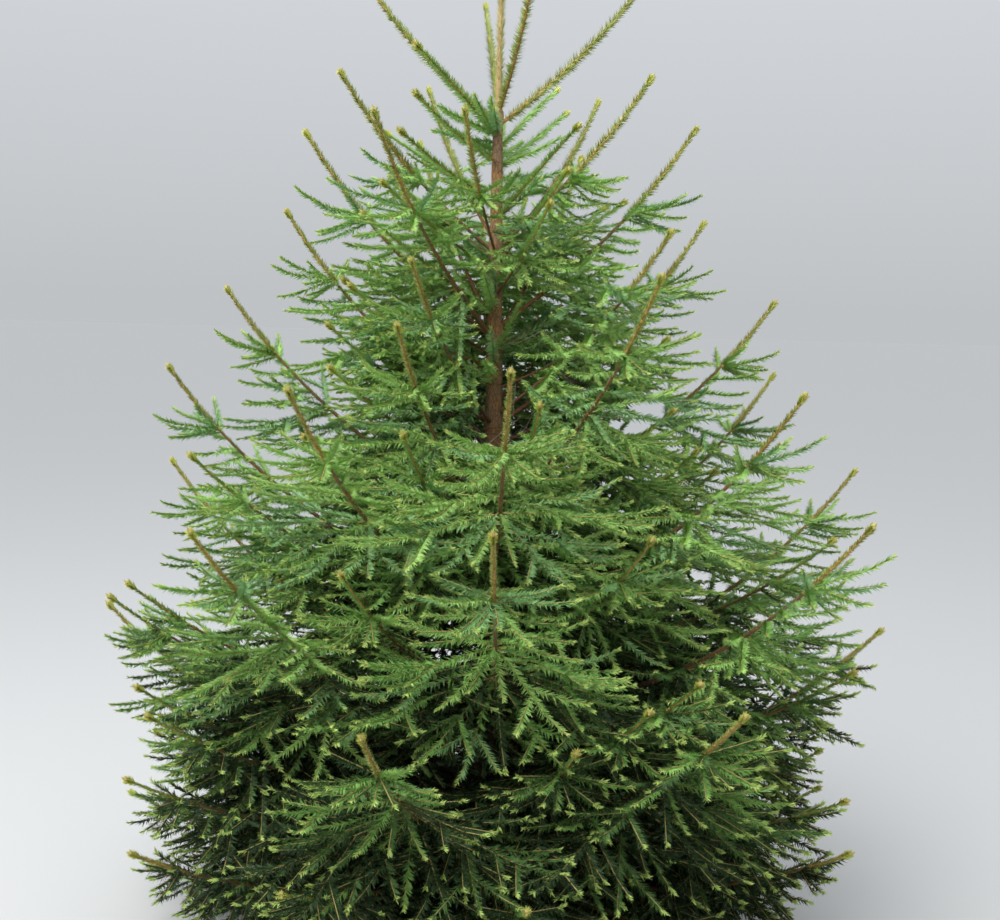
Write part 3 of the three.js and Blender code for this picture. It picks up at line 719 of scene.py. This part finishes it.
# %% What the leading shoots of the boughs wear
LEADING_SIZE_TOP, LEADING_SIZE_LOW, LEADING_SPACING = 1.25, 0.85, 0.45
STRAW_SPACING, STRAW_SIZE = 0.8, 0.8
TIP_LENGTH, TIP_SPACING, TIP_SIZE = 18, 0.13, 1.25
OLD_NODE, OLD_REACH, OLD_SPACING, OLD_SIZE = 0.4, 0.35, 1.2, 0.8  # green that older wood still bears
for bough in ALL_BOUGHS:
    last_node, tier = node_share(bough.years - 1, bough.years), WHORL_TIERS[bough.years]
    first = max(last_node, BOUGH_BARE)
    size = mix(LEADING_SIZE_TOP, LEADING_SIZE_LOW, bough.years / len(WHORLS))
    whorled = bough.seed < FIRST_BETWEEN
    colour = "olive" if whorled else "bright" if bough.years <= 4 else "leaf"
    dressed.append((tier, colour, bough, first, 1, LEADING_SPACING, size))
    if whorled:
        dressed.append((tier, "straw", bough, first, 1, STRAW_SPACING, STRAW_SIZE))
    dressed.append((tier, "tip", bough, 1 - TIP_LENGTH / bough.length, 1, TIP_SPACING, TIP_SIZE))
    if last_node > OLD_NODE:
        dressed.append((tier, "leaf", bough, max(BARE_SHARE, last_node - OLD_REACH), last_node,
                        OLD_SPACING, OLD_SIZE))
total = sum(shoot.length * (end - start) / spacing for _, _, shoot, start, end, spacing, _ in dressed)
OPEN_SPACING = total / NEEDLE_BUDGET  # millimetres of shoot for each needle in the open
print("a needle every", round(OPEN_SPACING, 2), "mm in the open")

# %% [markdown]
# ## From lines to meshes
# Geometry Nodes dress the shoots. What goes in is a mesh of nothing but edges, one chain for each
# shoot, with its thickness and other sizes stored at its points. A tree of nodes turns the chains
# into curves, and sweeps or scatters along them. What comes out is made a plain mesh, because the
# object is handed over without modifiers.


# %% Chains of edges with sizes at their points
def chains(name, lines, **sizes):
    ends = np.cumsum([len(line) for line in lines]) - 1
    points = np.concatenate(lines) * MM
    firsts = np.delete(np.arange(len(points)), ends)
    mesh = bpy.data.meshes.new(name)
    mesh.vertices.add(len(points))
    mesh.vertices.foreach_set("co", points.ravel())
    mesh.edges.add(len(firsts))
    mesh.edges.foreach_set("vertices", np.stack([firsts, firsts + 1], -1).ravel())
    for label, values in sizes.items():
        values = np.concatenate(values)
        kind, field = ("FLOAT", "value") if values.ndim == 1 else ("FLOAT_VECTOR", "vector")
        mesh.attributes.new(label, kind, "POINT").data.foreach_set(field, values.ravel())
    return mesh


# %% A geometry tree with named sizes, and how it is run
SOCKET_KINDS = {float: "NodeSocketFloat", int: "NodeSocketInt", bpy.types.Material: "NodeSocketMaterial",
                bpy.types.Object: "NodeSocketObject"}


def start_tree(name, sizes):
    """An empty tree. Its inputs are a mesh and the named sizes, and its output is a mesh."""
    tree = bpy.data.node_groups.new(name, "GeometryNodeTree")
    tree.interface.new_socket("Mesh", in_out="INPUT", socket_type="NodeSocketGeometry")
    for label, value in sizes.items():
        plain = not isinstance(value, type)
        kind = SOCKET_KINDS[type(value) if plain else value]
        socket = tree.interface.new_socket(label, in_out="INPUT", socket_type=kind)
        if plain:
            socket.default_value = value
    tree.interface.new_socket("Mesh", in_out="OUTPUT", socket_type="NodeSocketGeometry")
    return tree, put(tree, "NodeGroupInput").outputs


def end_tree(tree, geometry, material):
    whole = put(tree, "GeometryNodeRealizeInstances", {"Geometry": geometry})
    finished = put(tree, "GeometryNodeSetMaterial", {"Geometry": whole.outputs[0], "Material": material})
    put(tree, "NodeGroupOutput", {"Mesh": finished.outputs[0]})
    return tree


def stored(tree, label, kind="FLOAT"):
    return put(tree, "GeometryNodeInputNamedAttribute", {"Name": label}, data_type=kind).outputs[0]


def calc(tree, operation, *values):
    return put(tree, "ShaderNodeMath", dict(enumerate(values)), operation=operation).outputs[0]


def made_by(tree, mesh, name, **sizes):
    """Runs a tree on a mesh and returns the result as a plain object of that name."""
    carrier = add_object(name + "_lines", mesh)
    modifier = carrier.modifiers.new(name, "NODES")
    modifier.node_group = tree
    for item in tree.interface.items_tree:
        label = item.name.lower().replace(" ", "_")
        if item.in_out == "INPUT" and label in sizes:
            modifier[item.identifier] = sizes[label]
    ready = carrier.evaluated_get(bpy.context.evaluated_depsgraph_get())
    result = bpy.data.meshes.new_from_object(ready)
    for attribute in [a.name for a in result.attributes if a.name in STORED_SIZES]:
        result.attributes.remove(result.attributes[attribute])
    bpy.data.objects.remove(carrier)
    piece = add_object(name, result)
    result.name = name
    triangles = sum(len(p.vertices) - 2 for p in result.polygons)
    print(f"{name}: {triangles} triangles")
    return piece


STORED_SIZES = ("thick", "over", "lean", "size", "gap", "broad")

# %% [markdown]
# ## Needles
# A spruce needle is four-sided, stiff and pointed, and sits on a small peg. From a step away it is a
# short bright line. With a million to draw, one needle here is a single pointed face, set aslant so
# that it is never seen edge-on from above and from the side at once. A tree of nodes places it along
# each shoot at an even spacing, leans it towards the tip, and turns it about the shoot by a random
# angle with a fixed seed. Those on top lie forward. The underside of a side shoot is left nearly bare,
# and so is a narrow parting on top, where the yellow twig shows through.


# %% One needle
def needle_mesh():
    """Unit length along +Z and unit width at its root, aslant, so that it shows from every side."""
    mesh = bpy.data.meshes.new("needle")
    mesh.from_pydata([(-0.35, -0.35, 0), (0.35, 0.35, 0), (0, 0, 1)], [], [(0, 1, 2)])
    return mesh


NEEDLE = bpy.data.objects.new("needle", needle_mesh())

# %% The tree that grows needles along shoots
SIDE_GAIN, SHORTEST, LONGEST = 1.8, 0.8, 1.12


def needle_tree():
    tree, sizes = start_tree("needles_along_shoots", {
        "Needle": bpy.types.Object, "Needle Length": 0.0185, "Needle Width": 0.0034,
        "Top Lean": 0.55, "Parting": 14.0, "Reach Down": 152.0, "Lean Spread": 10.0, "Seed": 1,
        "Material": bpy.types.Material})
    curves = put(tree, "GeometryNodeMeshToCurve", {"Mesh": sizes["Mesh"]})
    points = put(tree, "GeometryNodeCurveToPoints", {
        "Curve": curves.outputs[0], "Length": stored(tree, "gap")}, mode="LENGTH")
    frame_on_shoot = put(tree, "FunctionNodeAxesToRotation", {
        "Primary Axis": points.outputs["Tangent"], "Secondary Axis": stored(tree, "over", "FLOAT_VECTOR")},
        primary_axis="Z", secondary_axis="X")

    def chance(low, high, more_seed):
        seed = calc(tree, "ADD", sizes["Seed"], more_seed)
        return put(tree, "FunctionNodeRandomValue", {2: low, 3: high, 8: seed}, data_type="FLOAT").outputs[1]

    # from the top of the shoot round to nearly its underside, on either side
    sweep = chance(-1.0, 1.0, 0)
    reach = calc(tree, "MULTIPLY", sweep, calc(tree, "SUBTRACT", sizes["Reach Down"], sizes["Parting"]))
    parted = calc(tree, "MULTIPLY", calc(tree, "SIGN", sweep), sizes["Parting"])
    turn = calc(tree, "RADIANS", calc(tree, "ADD", reach, parted))
    spread = calc(tree, "MULTIPLY", chance(-1.0, 1.0, 7), sizes["Lean Spread"])
    side = calc(tree, "MINIMUM", calc(tree, "MULTIPLY", calc(tree, "ABSOLUTE", sweep), SIDE_GAIN), 1.0)
    flat = put(tree, "ShaderNodeMapRange", {
        "Value": side, "To Min": sizes["Top Lean"], "To Max": 1.0}).outputs[0]
    lean = calc(tree, "MULTIPLY", stored(tree, "lean"), flat)
    lean = calc(tree, "RADIANS", calc(tree, "ADD", lean, spread))
    euler = put(tree, "ShaderNodeCombineXYZ", {"Y": lean, "Z": turn})
    turned = put(tree, "FunctionNodeRotateRotation", {
        "Rotation": frame_on_shoot.outputs[0],
        "Rotate By": put(tree, "FunctionNodeEulerToRotation", {"Euler": euler.outputs[0]}).outputs[0]},
        rotation_space="LOCAL")
    length = calc(tree, "MULTIPLY", sizes["Needle Length"], stored(tree, "size"))
    length = calc(tree, "MULTIPLY", length, chance(SHORTEST, LONGEST, 13))
    width = calc(tree, "MULTIPLY", sizes["Needle Width"], stored(tree, "broad"))
    scale = put(tree, "ShaderNodeCombineXYZ", {"X": width, "Y": width, "Z": length})
    needle = put(tree, "GeometryNodeObjectInfo", {"Object": sizes["Needle"]})
    needles = put(tree, "GeometryNodeInstanceOnPoints", {
        "Points": points.outputs["Points"], "Instance": needle.outputs["Geometry"],
        "Rotation": turned.outputs[0], "Scale": scale.outputs[0]})
    return end_tree(tree, needles.outputs[0], sizes["Material"])


NEEDLE_TREE = needle_tree()

# %% Grow the needles, one piece for each green of each tier
MOST_NEEDLES = 190000  # in one piece
NEEDLE_LEAN_ROOT, NEEDLE_LEAN_TIP, CHAIN_STEPS = 60.0, 38.0, 4
SHORTER_AT_TIP, ROOT_SIZE, ROOT_GAIN = 0.35, 0.7, 3
ALL_ROUND = dict(top_lean=1.0, parting=0.0, reach_down=180.0)  # needles of leading shoots stand all round


def needle_lines(rows):
    """The chains of needled stretches, with the sizes of their needles."""
    lines, over, lean, size, gap, broad = [], [], [], [], [], []
    for _, _, shoot, start, end, spacing, scale in rows:
        line = cut(shoot.line, start, end, CHAIN_STEPS)
        shares = np.linspace(start, end, CHAIN_STEPS + 1)
        lines.append(line)
        over.append(ways_of(line, shoot.roll)[2])
        lean.append(mix(NEEDLE_LEAN_ROOT, NEEDLE_LEAN_TIP, shares**3))
        size.append(scale * (1 - SHORTER_AT_TIP * shares**4) * np.minimum(1, ROOT_SIZE + shares * ROOT_GAIN))
        gap.append(np.full(len(line), spacing * OPEN_SPACING * MM))
        broad.append(np.full(len(line), max(spacing, 1)))
    return lines, dict(over=over, lean=lean, size=size, gap=gap, broad=broad)


pieces, groups = [], {}
for row in dressed:
    count = row[2].length * (row[4] - row[3]) / (row[5] * OPEN_SPACING)
    number = 1
    while groups.setdefault((*row[:2], number), [0, []])[0] + count > MOST_NEEDLES:
        number += 1
    group = groups[(*row[:2], number)]
    group[0] += count
    group[1].append(row)
for seed, ((tier, colour, number), (_, rows)) in enumerate(sorted(groups.items())):
    name = f"needles_{tier}_{colour}" + (f"_{number}" if number > 1 else "")
    lines, sizes = needle_lines(rows)
    around = ALL_ROUND if colour in ("straw", "olive", "tip") else {}
    piece = made_by(NEEDLE_TREE, chains(name, lines, **sizes), name, needle=NEEDLE, seed=seed * 31,
                    material=NEEDLE_FINISHES[colour], **around)
    pieces.append((piece, "needles", tier))

# %% [markdown]
# ## Twigs are swept along their chains with three sides, thick at the root and thin at the tip.
# Twigs are swept along their chains with three to six sides, thick at the root and thin at the tip.
# The same tree of nodes makes the boughs, with more sides and rings, and raises their bark.


# %% The tree that sweeps limbs and raises their bark
def limb_tree():
    tree, sizes = start_tree("limbs_along_lines", {
        "Sides": 3, "Ring Spacing": 0.02, "Relief": 0.0, "Flakes": 200.0, "Material": bpy.types.Material})
    curves = put(tree, "GeometryNodeMeshToCurve", {"Mesh": sizes["Mesh"]})
    rings = put(tree, "GeometryNodeResampleCurve", {
        "Curve": curves.outputs[0], "Length": sizes["Ring Spacing"]}, mode="LENGTH")
    profile = put(tree, "GeometryNodeCurvePrimitiveCircle", {"Resolution": sizes["Sides"], "Radius": 1.0})
    limbs = put(tree, "GeometryNodeCurveToMesh", {
        "Curve": rings.outputs[0], "Profile Curve": profile.outputs["Curve"], "Scale": stored(tree, "thick"),
        "Fill Caps": True})
    place = put(tree, "GeometryNodeInputPosition")
    stretched = put(tree, "ShaderNodeVectorMath", {
        0: place.outputs[0], 1: (1.0, 1.0, 0.4)}, operation="MULTIPLY")
    flakes = put(tree, "ShaderNodeTexVoronoi", {"Vector": stretched.outputs[0], "Scale": sizes["Flakes"]})
    raised = calc(tree, "MULTIPLY", calc(tree, "SUBTRACT", flakes.outputs["Distance"], 0.5), sizes["Relief"])
    normal = put(tree, "GeometryNodeInputNormal")
    offset = put(tree, "ShaderNodeVectorMath", {0: normal.outputs[0], "Scale": raised}, operation="SCALE")
    bark = put(tree, "GeometryNodeSetPosition", {"Geometry": limbs.outputs[0], "Offset": offset.outputs[0]})
    smooth = put(tree, "GeometryNodeSetShadeSmooth", {"Geometry": bark.outputs[0], "Shade Smooth": True})
    return end_tree(tree, smooth.outputs[0], sizes["Material"])


LIMB_TREE = limb_tree()
TWIG_RING, BOUGH_RING, BOUGH_SIDES, BOUGH_RELIEF, BOUGH_FLAKES = 0.06, 0.008, 8, 0.0012, 260.0  # in metres


# %% Twigs, one piece for each tier, and the dry ones
def sweep_twigs(name, shoots, finish):
    lines = [shoot.line for shoot in shoots]
    thick = [np.linspace(shoot.root_radius, shoot.tip_radius, len(shoot.line)) * MM for shoot in shoots]
    return made_by(LIMB_TREE, chains(name, lines, thick=thick), name, sides=3, ring_spacing=TWIG_RING,
                   material=BARK_FINISHES[finish])


for tier in TIERS:
    shoots = [shoot for its_tier, _, shoot in side_shoots if its_tier == tier]
    pieces.append((sweep_twigs("twigs_" + tier, shoots, "twig_bark"), "branch_bark", tier))
pieces.append((sweep_twigs("dry_twigs", DRY_TWIGS, "dry_bark"), "branch_bark", "low"))

# %% Boughs: old wood and last year's shoots
YOUNG_ROOT, OVERLAP = 0.02, 0.01  # old wood of a one-year bough, and how far a shoot runs back into it


def bough_radius(bough, share):
    return mix(bough.root_radius, bough.tip_radius, share**TAPER_EASE)


for part, finish in (("boughs", "bough_bark"), ("bough_shoots", "shoot_bark")):
    for tier in TIERS:
        lines, thick = [], []
        for bough in ALL_BOUGHS:
            if WHORL_TIERS[bough.years] != tier:
                continue
            node = node_share(bough.years - 1, bough.years) if bough.years > 1 else YOUNG_ROOT
            start, end = (0.0, node) if part == "boughs" else (node - OVERLAP, 1.0)
            lines.append(cut(bough.line, start, end, BOUGH_STEPS))
            thick.append(bough_radius(bough, np.linspace(start, end, BOUGH_STEPS + 1)) * MM)
        name = f"{part}_{tier}"
        piece = made_by(LIMB_TREE, chains(name, lines, thick=thick), name, sides=BOUGH_SIDES,
                        ring_spacing=BOUGH_RING, relief=BOUGH_RELIEF, flakes=BOUGH_FLAKES,
                        material=BARK_FINISHES[finish])
        pieces.append((piece, "branch_bark", tier))

# %% [markdown]
# ## Trunk
# The trunk keeps the source's taper, lean, wander and root flare, ring by ring, and swells a little
# where a whorl leaves it. Its rings are close enough to carry raised flakes of bark in the mesh.

# %% Trunk
TRUNK_SIDES, TRUNK_RING, TRUNK_RELIEF = 48, 5, 1.6
LEADER_SIDES, LEADER_RINGS, LEADER_RELIEF = 16, 140, 0.7
PLATE, GRAIN = (7.0, 7.0, 16.0), (2.6, 2.6, 5.0)  # size of a flake of bark and of its grain
PLATE_GAIN, PLATE_LEVEL, GRAIN_SHARE = 1.6, 0.6, 0.5  # flat tops, their height, and what the grain adds
WHORL_SWELL, SWELL_HEIGHT = 0.16, 22
LEADER_FOOT = WHORLS[0][0] + 20
LEADER_SLIM, LEADER_EASE = 0.62, 16  # last year's wood is slimmer than the older trunk under it


def value_noise(points, seed):
    """Smooth repeatable noise from 0 to 1 at each point, from numbers on a grid of unit cells."""
    cell = np.floor(points).astype(np.int64)
    part = points - cell
    part = part * part * (3 - 2 * part)
    total = 0
    for dx in (0, 1):
        for dy in (0, 1):
            for dz in (0, 1):
                x, y, z = cell[:, 0] + dx, cell[:, 1] + dy, cell[:, 2] + dz
                grid = (x * 73856093 ^ y * 19349663 ^ z * 83492791 ^ seed * 2654435) & 0xFFFFFF
                grid = (grid * 1103515245 + 12345 & 0x7FFFFFFF) / 0x7FFFFFFF
                weight = np.abs(1 - dx - part[:, 0]) * np.abs(1 - dy - part[:, 1])
                total = total + grid * (weight * np.abs(1 - dz - part[:, 2]))
    return total


def tube(name, heights, radius_at, sides, relief):
    turns = 2 * math.pi * np.arange(sides) / sides
    rings = []
    for z in heights:
        radius = radius_at(z, turns)
        centre = trunk_centre(z)
        rings.append(centre + np.stack([radius * np.cos(turns), radius * np.sin(turns), 0 * turns], -1))
    points = np.concatenate(rings)
    centres = np.repeat(np.array([trunk_centre(z) for z in heights]), sides, axis=0)
    out = points - centres
    out /= np.linalg.norm(out, axis=1)[:, None]
    plates, grain = value_noise(points / PLATE, 3), value_noise(points / GRAIN, 5)
    raised = np.minimum(plates * PLATE_GAIN, 1) - PLATE_LEVEL + GRAIN_SHARE * (grain - 0.5)
    points = points + out * (relief * raised)[:, None]
    count = len(heights)
    faces = []
    for k in range(count - 1):
        for j in range(sides):
            a, b = k * sides + j, k * sides + (j + 1) % sides
            faces.append((a, b, b + sides, a + sides))
    faces.append(tuple(range(sides))[::-1])
    faces.append(tuple(range((count - 1) * sides, count * sides)))
    mesh = bpy.data.meshes.new(name)
    mesh.from_pydata((points * MM).tolist(), [], faces)
    mesh.polygons.foreach_set("use_smooth", [True] * (len(faces) - 2) + [False, False])
    print(name, len(faces), "faces")
    return add_object(name, mesh)


def trunk_outline(z, turns):
    spread = math.exp(-z / FLARE_HEIGHT)
    swell = sum(math.exp(-((z - whorl[0]) / SWELL_HEIGHT) ** 2) for whorl in WHORLS)
    lobes = FLARE_SHARE + LOBE_SHARE * np.cos(FLARE_LOBES * turns)
    return trunk_radius(z) * (1 + spread * lobes + WHORL_SWELL * swell)


def leader_outline(z, turns):
    slim = mix(LEADER_SLIM, 1, math.exp((LEADER_FOOT - z) / LEADER_EASE))
    return trunk_radius(z) * slim + 0 * turns


trunk = tube("trunk_bark", np.arange(0, LEADER_FOOT + 1, TRUNK_RING), trunk_outline,
             TRUNK_SIDES, TRUNK_RELIEF)
trunk.data.materials.append(BARK_FINISHES["bark"])
leader = tube("leader_shoot", np.linspace(LEADER_FOOT, TREE_HEIGHT, LEADER_RINGS), leader_outline,
              LEADER_SIDES, LEADER_RELIEF)
leader.data.materials.append(BARK_FINISHES["leader_bark"])

# %% Needles of the leading shoot
LEADER_POINTS, LEADER_BROAD = 41, 0.8
LEADER_LEAN_ROOT, LEADER_LEAN_TIP, LEADER_TIP_SIZE = 46, 30, 0.8
leader_line = np.array([trunk_centre(z) for z in np.linspace(LEADER_FOOT, TREE_HEIGHT, LEADER_POINTS)])


def leader_rows(name, colour, size, gap, seed):
    shares = np.linspace(0, 1, LEADER_POINTS)
    mesh = chains(name + "_lines", [leader_line], over=[np.tile((1.0, 0.0, 0.0), (LEADER_POINTS, 1))],
                  lean=[mix(LEADER_LEAN_ROOT, LEADER_LEAN_TIP, shares)],
                  size=[mix(size, LEADER_TIP_SIZE * size, shares)],
                  gap=[np.full(LEADER_POINTS, gap * MM)], broad=[np.full(LEADER_POINTS, LEADER_BROAD)])
    return made_by(NEEDLE_TREE, mesh, name, needle=NEEDLE, seed=seed, material=NEEDLE_FINISHES[colour],
                   **ALL_ROUND)


leader_needles = [leader_rows("leader_needle_rows", "olive", 1.2, 0.5, 990),
                  leader_rows("leader_pale_rows", "straw", 1.1, 0.6, 991)]

# %% [markdown]
# ## Buds
# Every shoot of last year ends in a cluster of small pointed buds, brightest at the tips of the
# boughs. A bud is a spindle of a few faces, and a tree of nodes turns each to its shoot.

# %% Buds
BUD_GIRTH, BUD_WAIST = 0.27, 0.36  # widest radius of a bud and its height, for a bud of length 1


def bud_mesh(spindles, sides):
    """Pointed buds along +Z in units of the longest: (turn, lean, size) of each, in degrees."""
    points, faces = [], []
    for turn, lean, scale in spindles:
        first = len(points)
        turning = Matrix.Rotation(math.radians(turn), 3, "Z") @ Matrix.Rotation(math.radians(lean), 3, "Y")
        for radius, height, count in ((0.0, 0.0, 1), (BUD_GIRTH, BUD_WAIST, sides), (0.0, 1.0, 1)):
            for j in range(count):
                angle = 2 * math.pi * j / sides
                corner = Vector((radius * math.cos(angle), radius * math.sin(angle), height))
                points.append(turning @ corner * scale)
        for j in range(sides):
            a, b = first + 1 + j, first + 1 + (j + 1) % sides
            faces += [(first, b, a), (a, b, first + sides + 1)]
    mesh = bpy.data.meshes.new("bud")
    mesh.from_pydata(points, [], faces)
    return mesh


def bud_tree():
    tree, sizes = start_tree("buds_at_tips", {
        "Bud": bpy.types.Object, "Seed": 1, "Material": bpy.types.Material})
    points = put(tree, "GeometryNodeMeshToPoints", {"Mesh": sizes["Mesh"]})
    spin = put(tree, "FunctionNodeRandomValue", {
        2: 0.0, 3: 2 * math.pi, 8: sizes["Seed"]}, data_type="FLOAT")
    aim = put(tree, "FunctionNodeAlignRotationToVector", {
        "Vector": stored(tree, "over", "FLOAT_VECTOR")}, axis="Z")
    euler = put(tree, "ShaderNodeCombineXYZ", {"Z": spin.outputs[1]})
    turned = put(tree, "FunctionNodeRotateRotation", {
        "Rotation": aim.outputs[0],
        "Rotate By": put(tree, "FunctionNodeEulerToRotation", {"Euler": euler.outputs[0]}).outputs[0]},
        rotation_space="LOCAL")
    bud = put(tree, "GeometryNodeObjectInfo", {"Object": sizes["Bud"]})
    buds = put(tree, "GeometryNodeInstanceOnPoints", {
        "Points": points.outputs[0], "Instance": bud.outputs["Geometry"], "Rotation": turned.outputs[0],
        "Scale": stored(tree, "size")})
    return end_tree(tree, buds.outputs[0], sizes["Material"])


BUD_TREE = bud_tree()
SINGLE_BUD = bpy.data.objects.new("single_bud", bud_mesh([(0, 0, 1.0)], 4))
BUD_CLUSTER = bpy.data.objects.new("bud_cluster", bud_mesh(
    [(0, 0, 1.0), (0, 40, 0.75), (120, 44, 0.7), (240, 42, 0.72), (60, 75, 0.5)], 6))
OPEN_BUD = 0.12  # side shoots deeper in the crown show no bud
CLUSTER_LENGTH, SIDE_BUD_LENGTH = 17.0, 5.5


def grow_buds(name, lines, bud, length, seed):
    points = bpy.data.meshes.new(name + "_points")
    points.vertices.add(len(lines))
    tips, aims = (np.array(ends) for ends in zip(*((line[-1], line[-1] - line[-2]) for line in lines)))
    points.vertices.foreach_set("co", (tips * MM).ravel())
    points.attributes.new("over", "FLOAT_VECTOR", "POINT").data.foreach_set("vector", aims.ravel())
    points.attributes.new("size", "FLOAT", "POINT").data.foreach_set("value", np.full(len(tips), length * MM))
    return made_by(BUD_TREE, points, name, bud=bud, seed=seed, material=BARK_FINISHES["bud_scales"])


outer = [shoot.line for _, _, shoot in side_shoots if shoot.sight > OPEN_BUD]
ends = [bough.line for bough in ALL_BOUGHS] + [leader_line]
buds = [grow_buds("bough_buds", ends, BUD_CLUSTER, CLUSTER_LENGTH, 5),
        grow_buds("side_buds", outer, SINGLE_BUD, SIDE_BUD_LENGTH, 6)]

# %% [markdown]
# ## Pieces, floor and light
# Every piece rides on the one body and stands for the solids whose place it takes. The floor is wide
# and pale, and a large soft lamp above with an even pale sky gives the dull daylight of the picture.


# %% What each piece stands for
def of_tier(nodes, tier):
    return [node for node in nodes if WHORL_TIERS[int(node.split("_")[1])] == tier]


def settle(piece, nodes):
    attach(piece, "root")
    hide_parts(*nodes)


for piece, slot, tier in pieces:
    limbs = of_tier(LIMBS, tier) if piece.name.startswith("boughs") else []
    settle(piece, limbs or of_tier(MASSES, tier))
settle(trunk, ["trunk"])
for piece in (leader, *leader_needles):
    settle(piece, ["leader_needles"])
for piece in buds:
    settle(piece, MASSES)

# %% Floor and light
FLOOR_HALF = 60.0
floor_mesh = bpy.data.meshes.new("floor")
floor_mesh.from_pydata([(x * FLOOR_HALF, y * FLOOR_HALF, 0) for x, y in ((-1, -1), (1, -1), (1, 1), (-1, 1))],
                       [], [(0, 1, 2, 3)])
floor = add_object("floor", floor_mesh)
paint = bpy.data.materials.new("floor")
paint.use_nodes = True
paint.node_tree.nodes["Principled BSDF"].inputs["Base Color"].default_value = (0.58, 0.58, 0.57, 1)
paint.node_tree.nodes["Principled BSDF"].inputs["Roughness"].default_value = 0.9
floor_mesh.materials.append(paint)


def studio_sky(horizon, zenith):
    """An even sky, brighter overhead than at its edge, as on a dull day."""
    world = bpy.data.worlds.new("studio")
    world.use_nodes = True
    tree = world.node_tree
    way = put(tree, "ShaderNodeSeparateXYZ", {0: put(tree, "ShaderNodeTexCoord").outputs["Generated"]})
    height = put(tree, "ShaderNodeMapRange", {
        "Value": way.outputs["Z"], "From Min": 0.0, "From Max": 0.9})
    colour = put(tree, "ShaderNodeMix", {
        0: height.outputs["Result"], 6: (*horizon, 1), 7: (*zenith, 1)}, data_type="RGBA")
    tree.links.new(colour.outputs[2], tree.nodes["Background"].inputs["Color"])
    bpy.context.scene.world = world


studio_sky((0.52, 0.54, 0.56), (1.00, 1.04, 1.10))
bpy.context.scene.view_settings.view_transform = "Standard"


def soft_lamp(name, place, aim, size, power):
    data = bpy.data.lights.new(name, "AREA")
    data.shape, data.size, data.energy = "DISK", size, power
    lamp = add_object(name, data)
    way = np.array(aim) - np.array(place)
    lamp.location = place
    lamp.rotation_mode = "QUATERNION"
    lamp.rotation_quaternion = Vector(way).to_track_quat("-Z", "Y")


soft_lamp("overhead", (-1.6, -2.2, 5.0), (0, 0, 1.2), 4.0, 260.0)
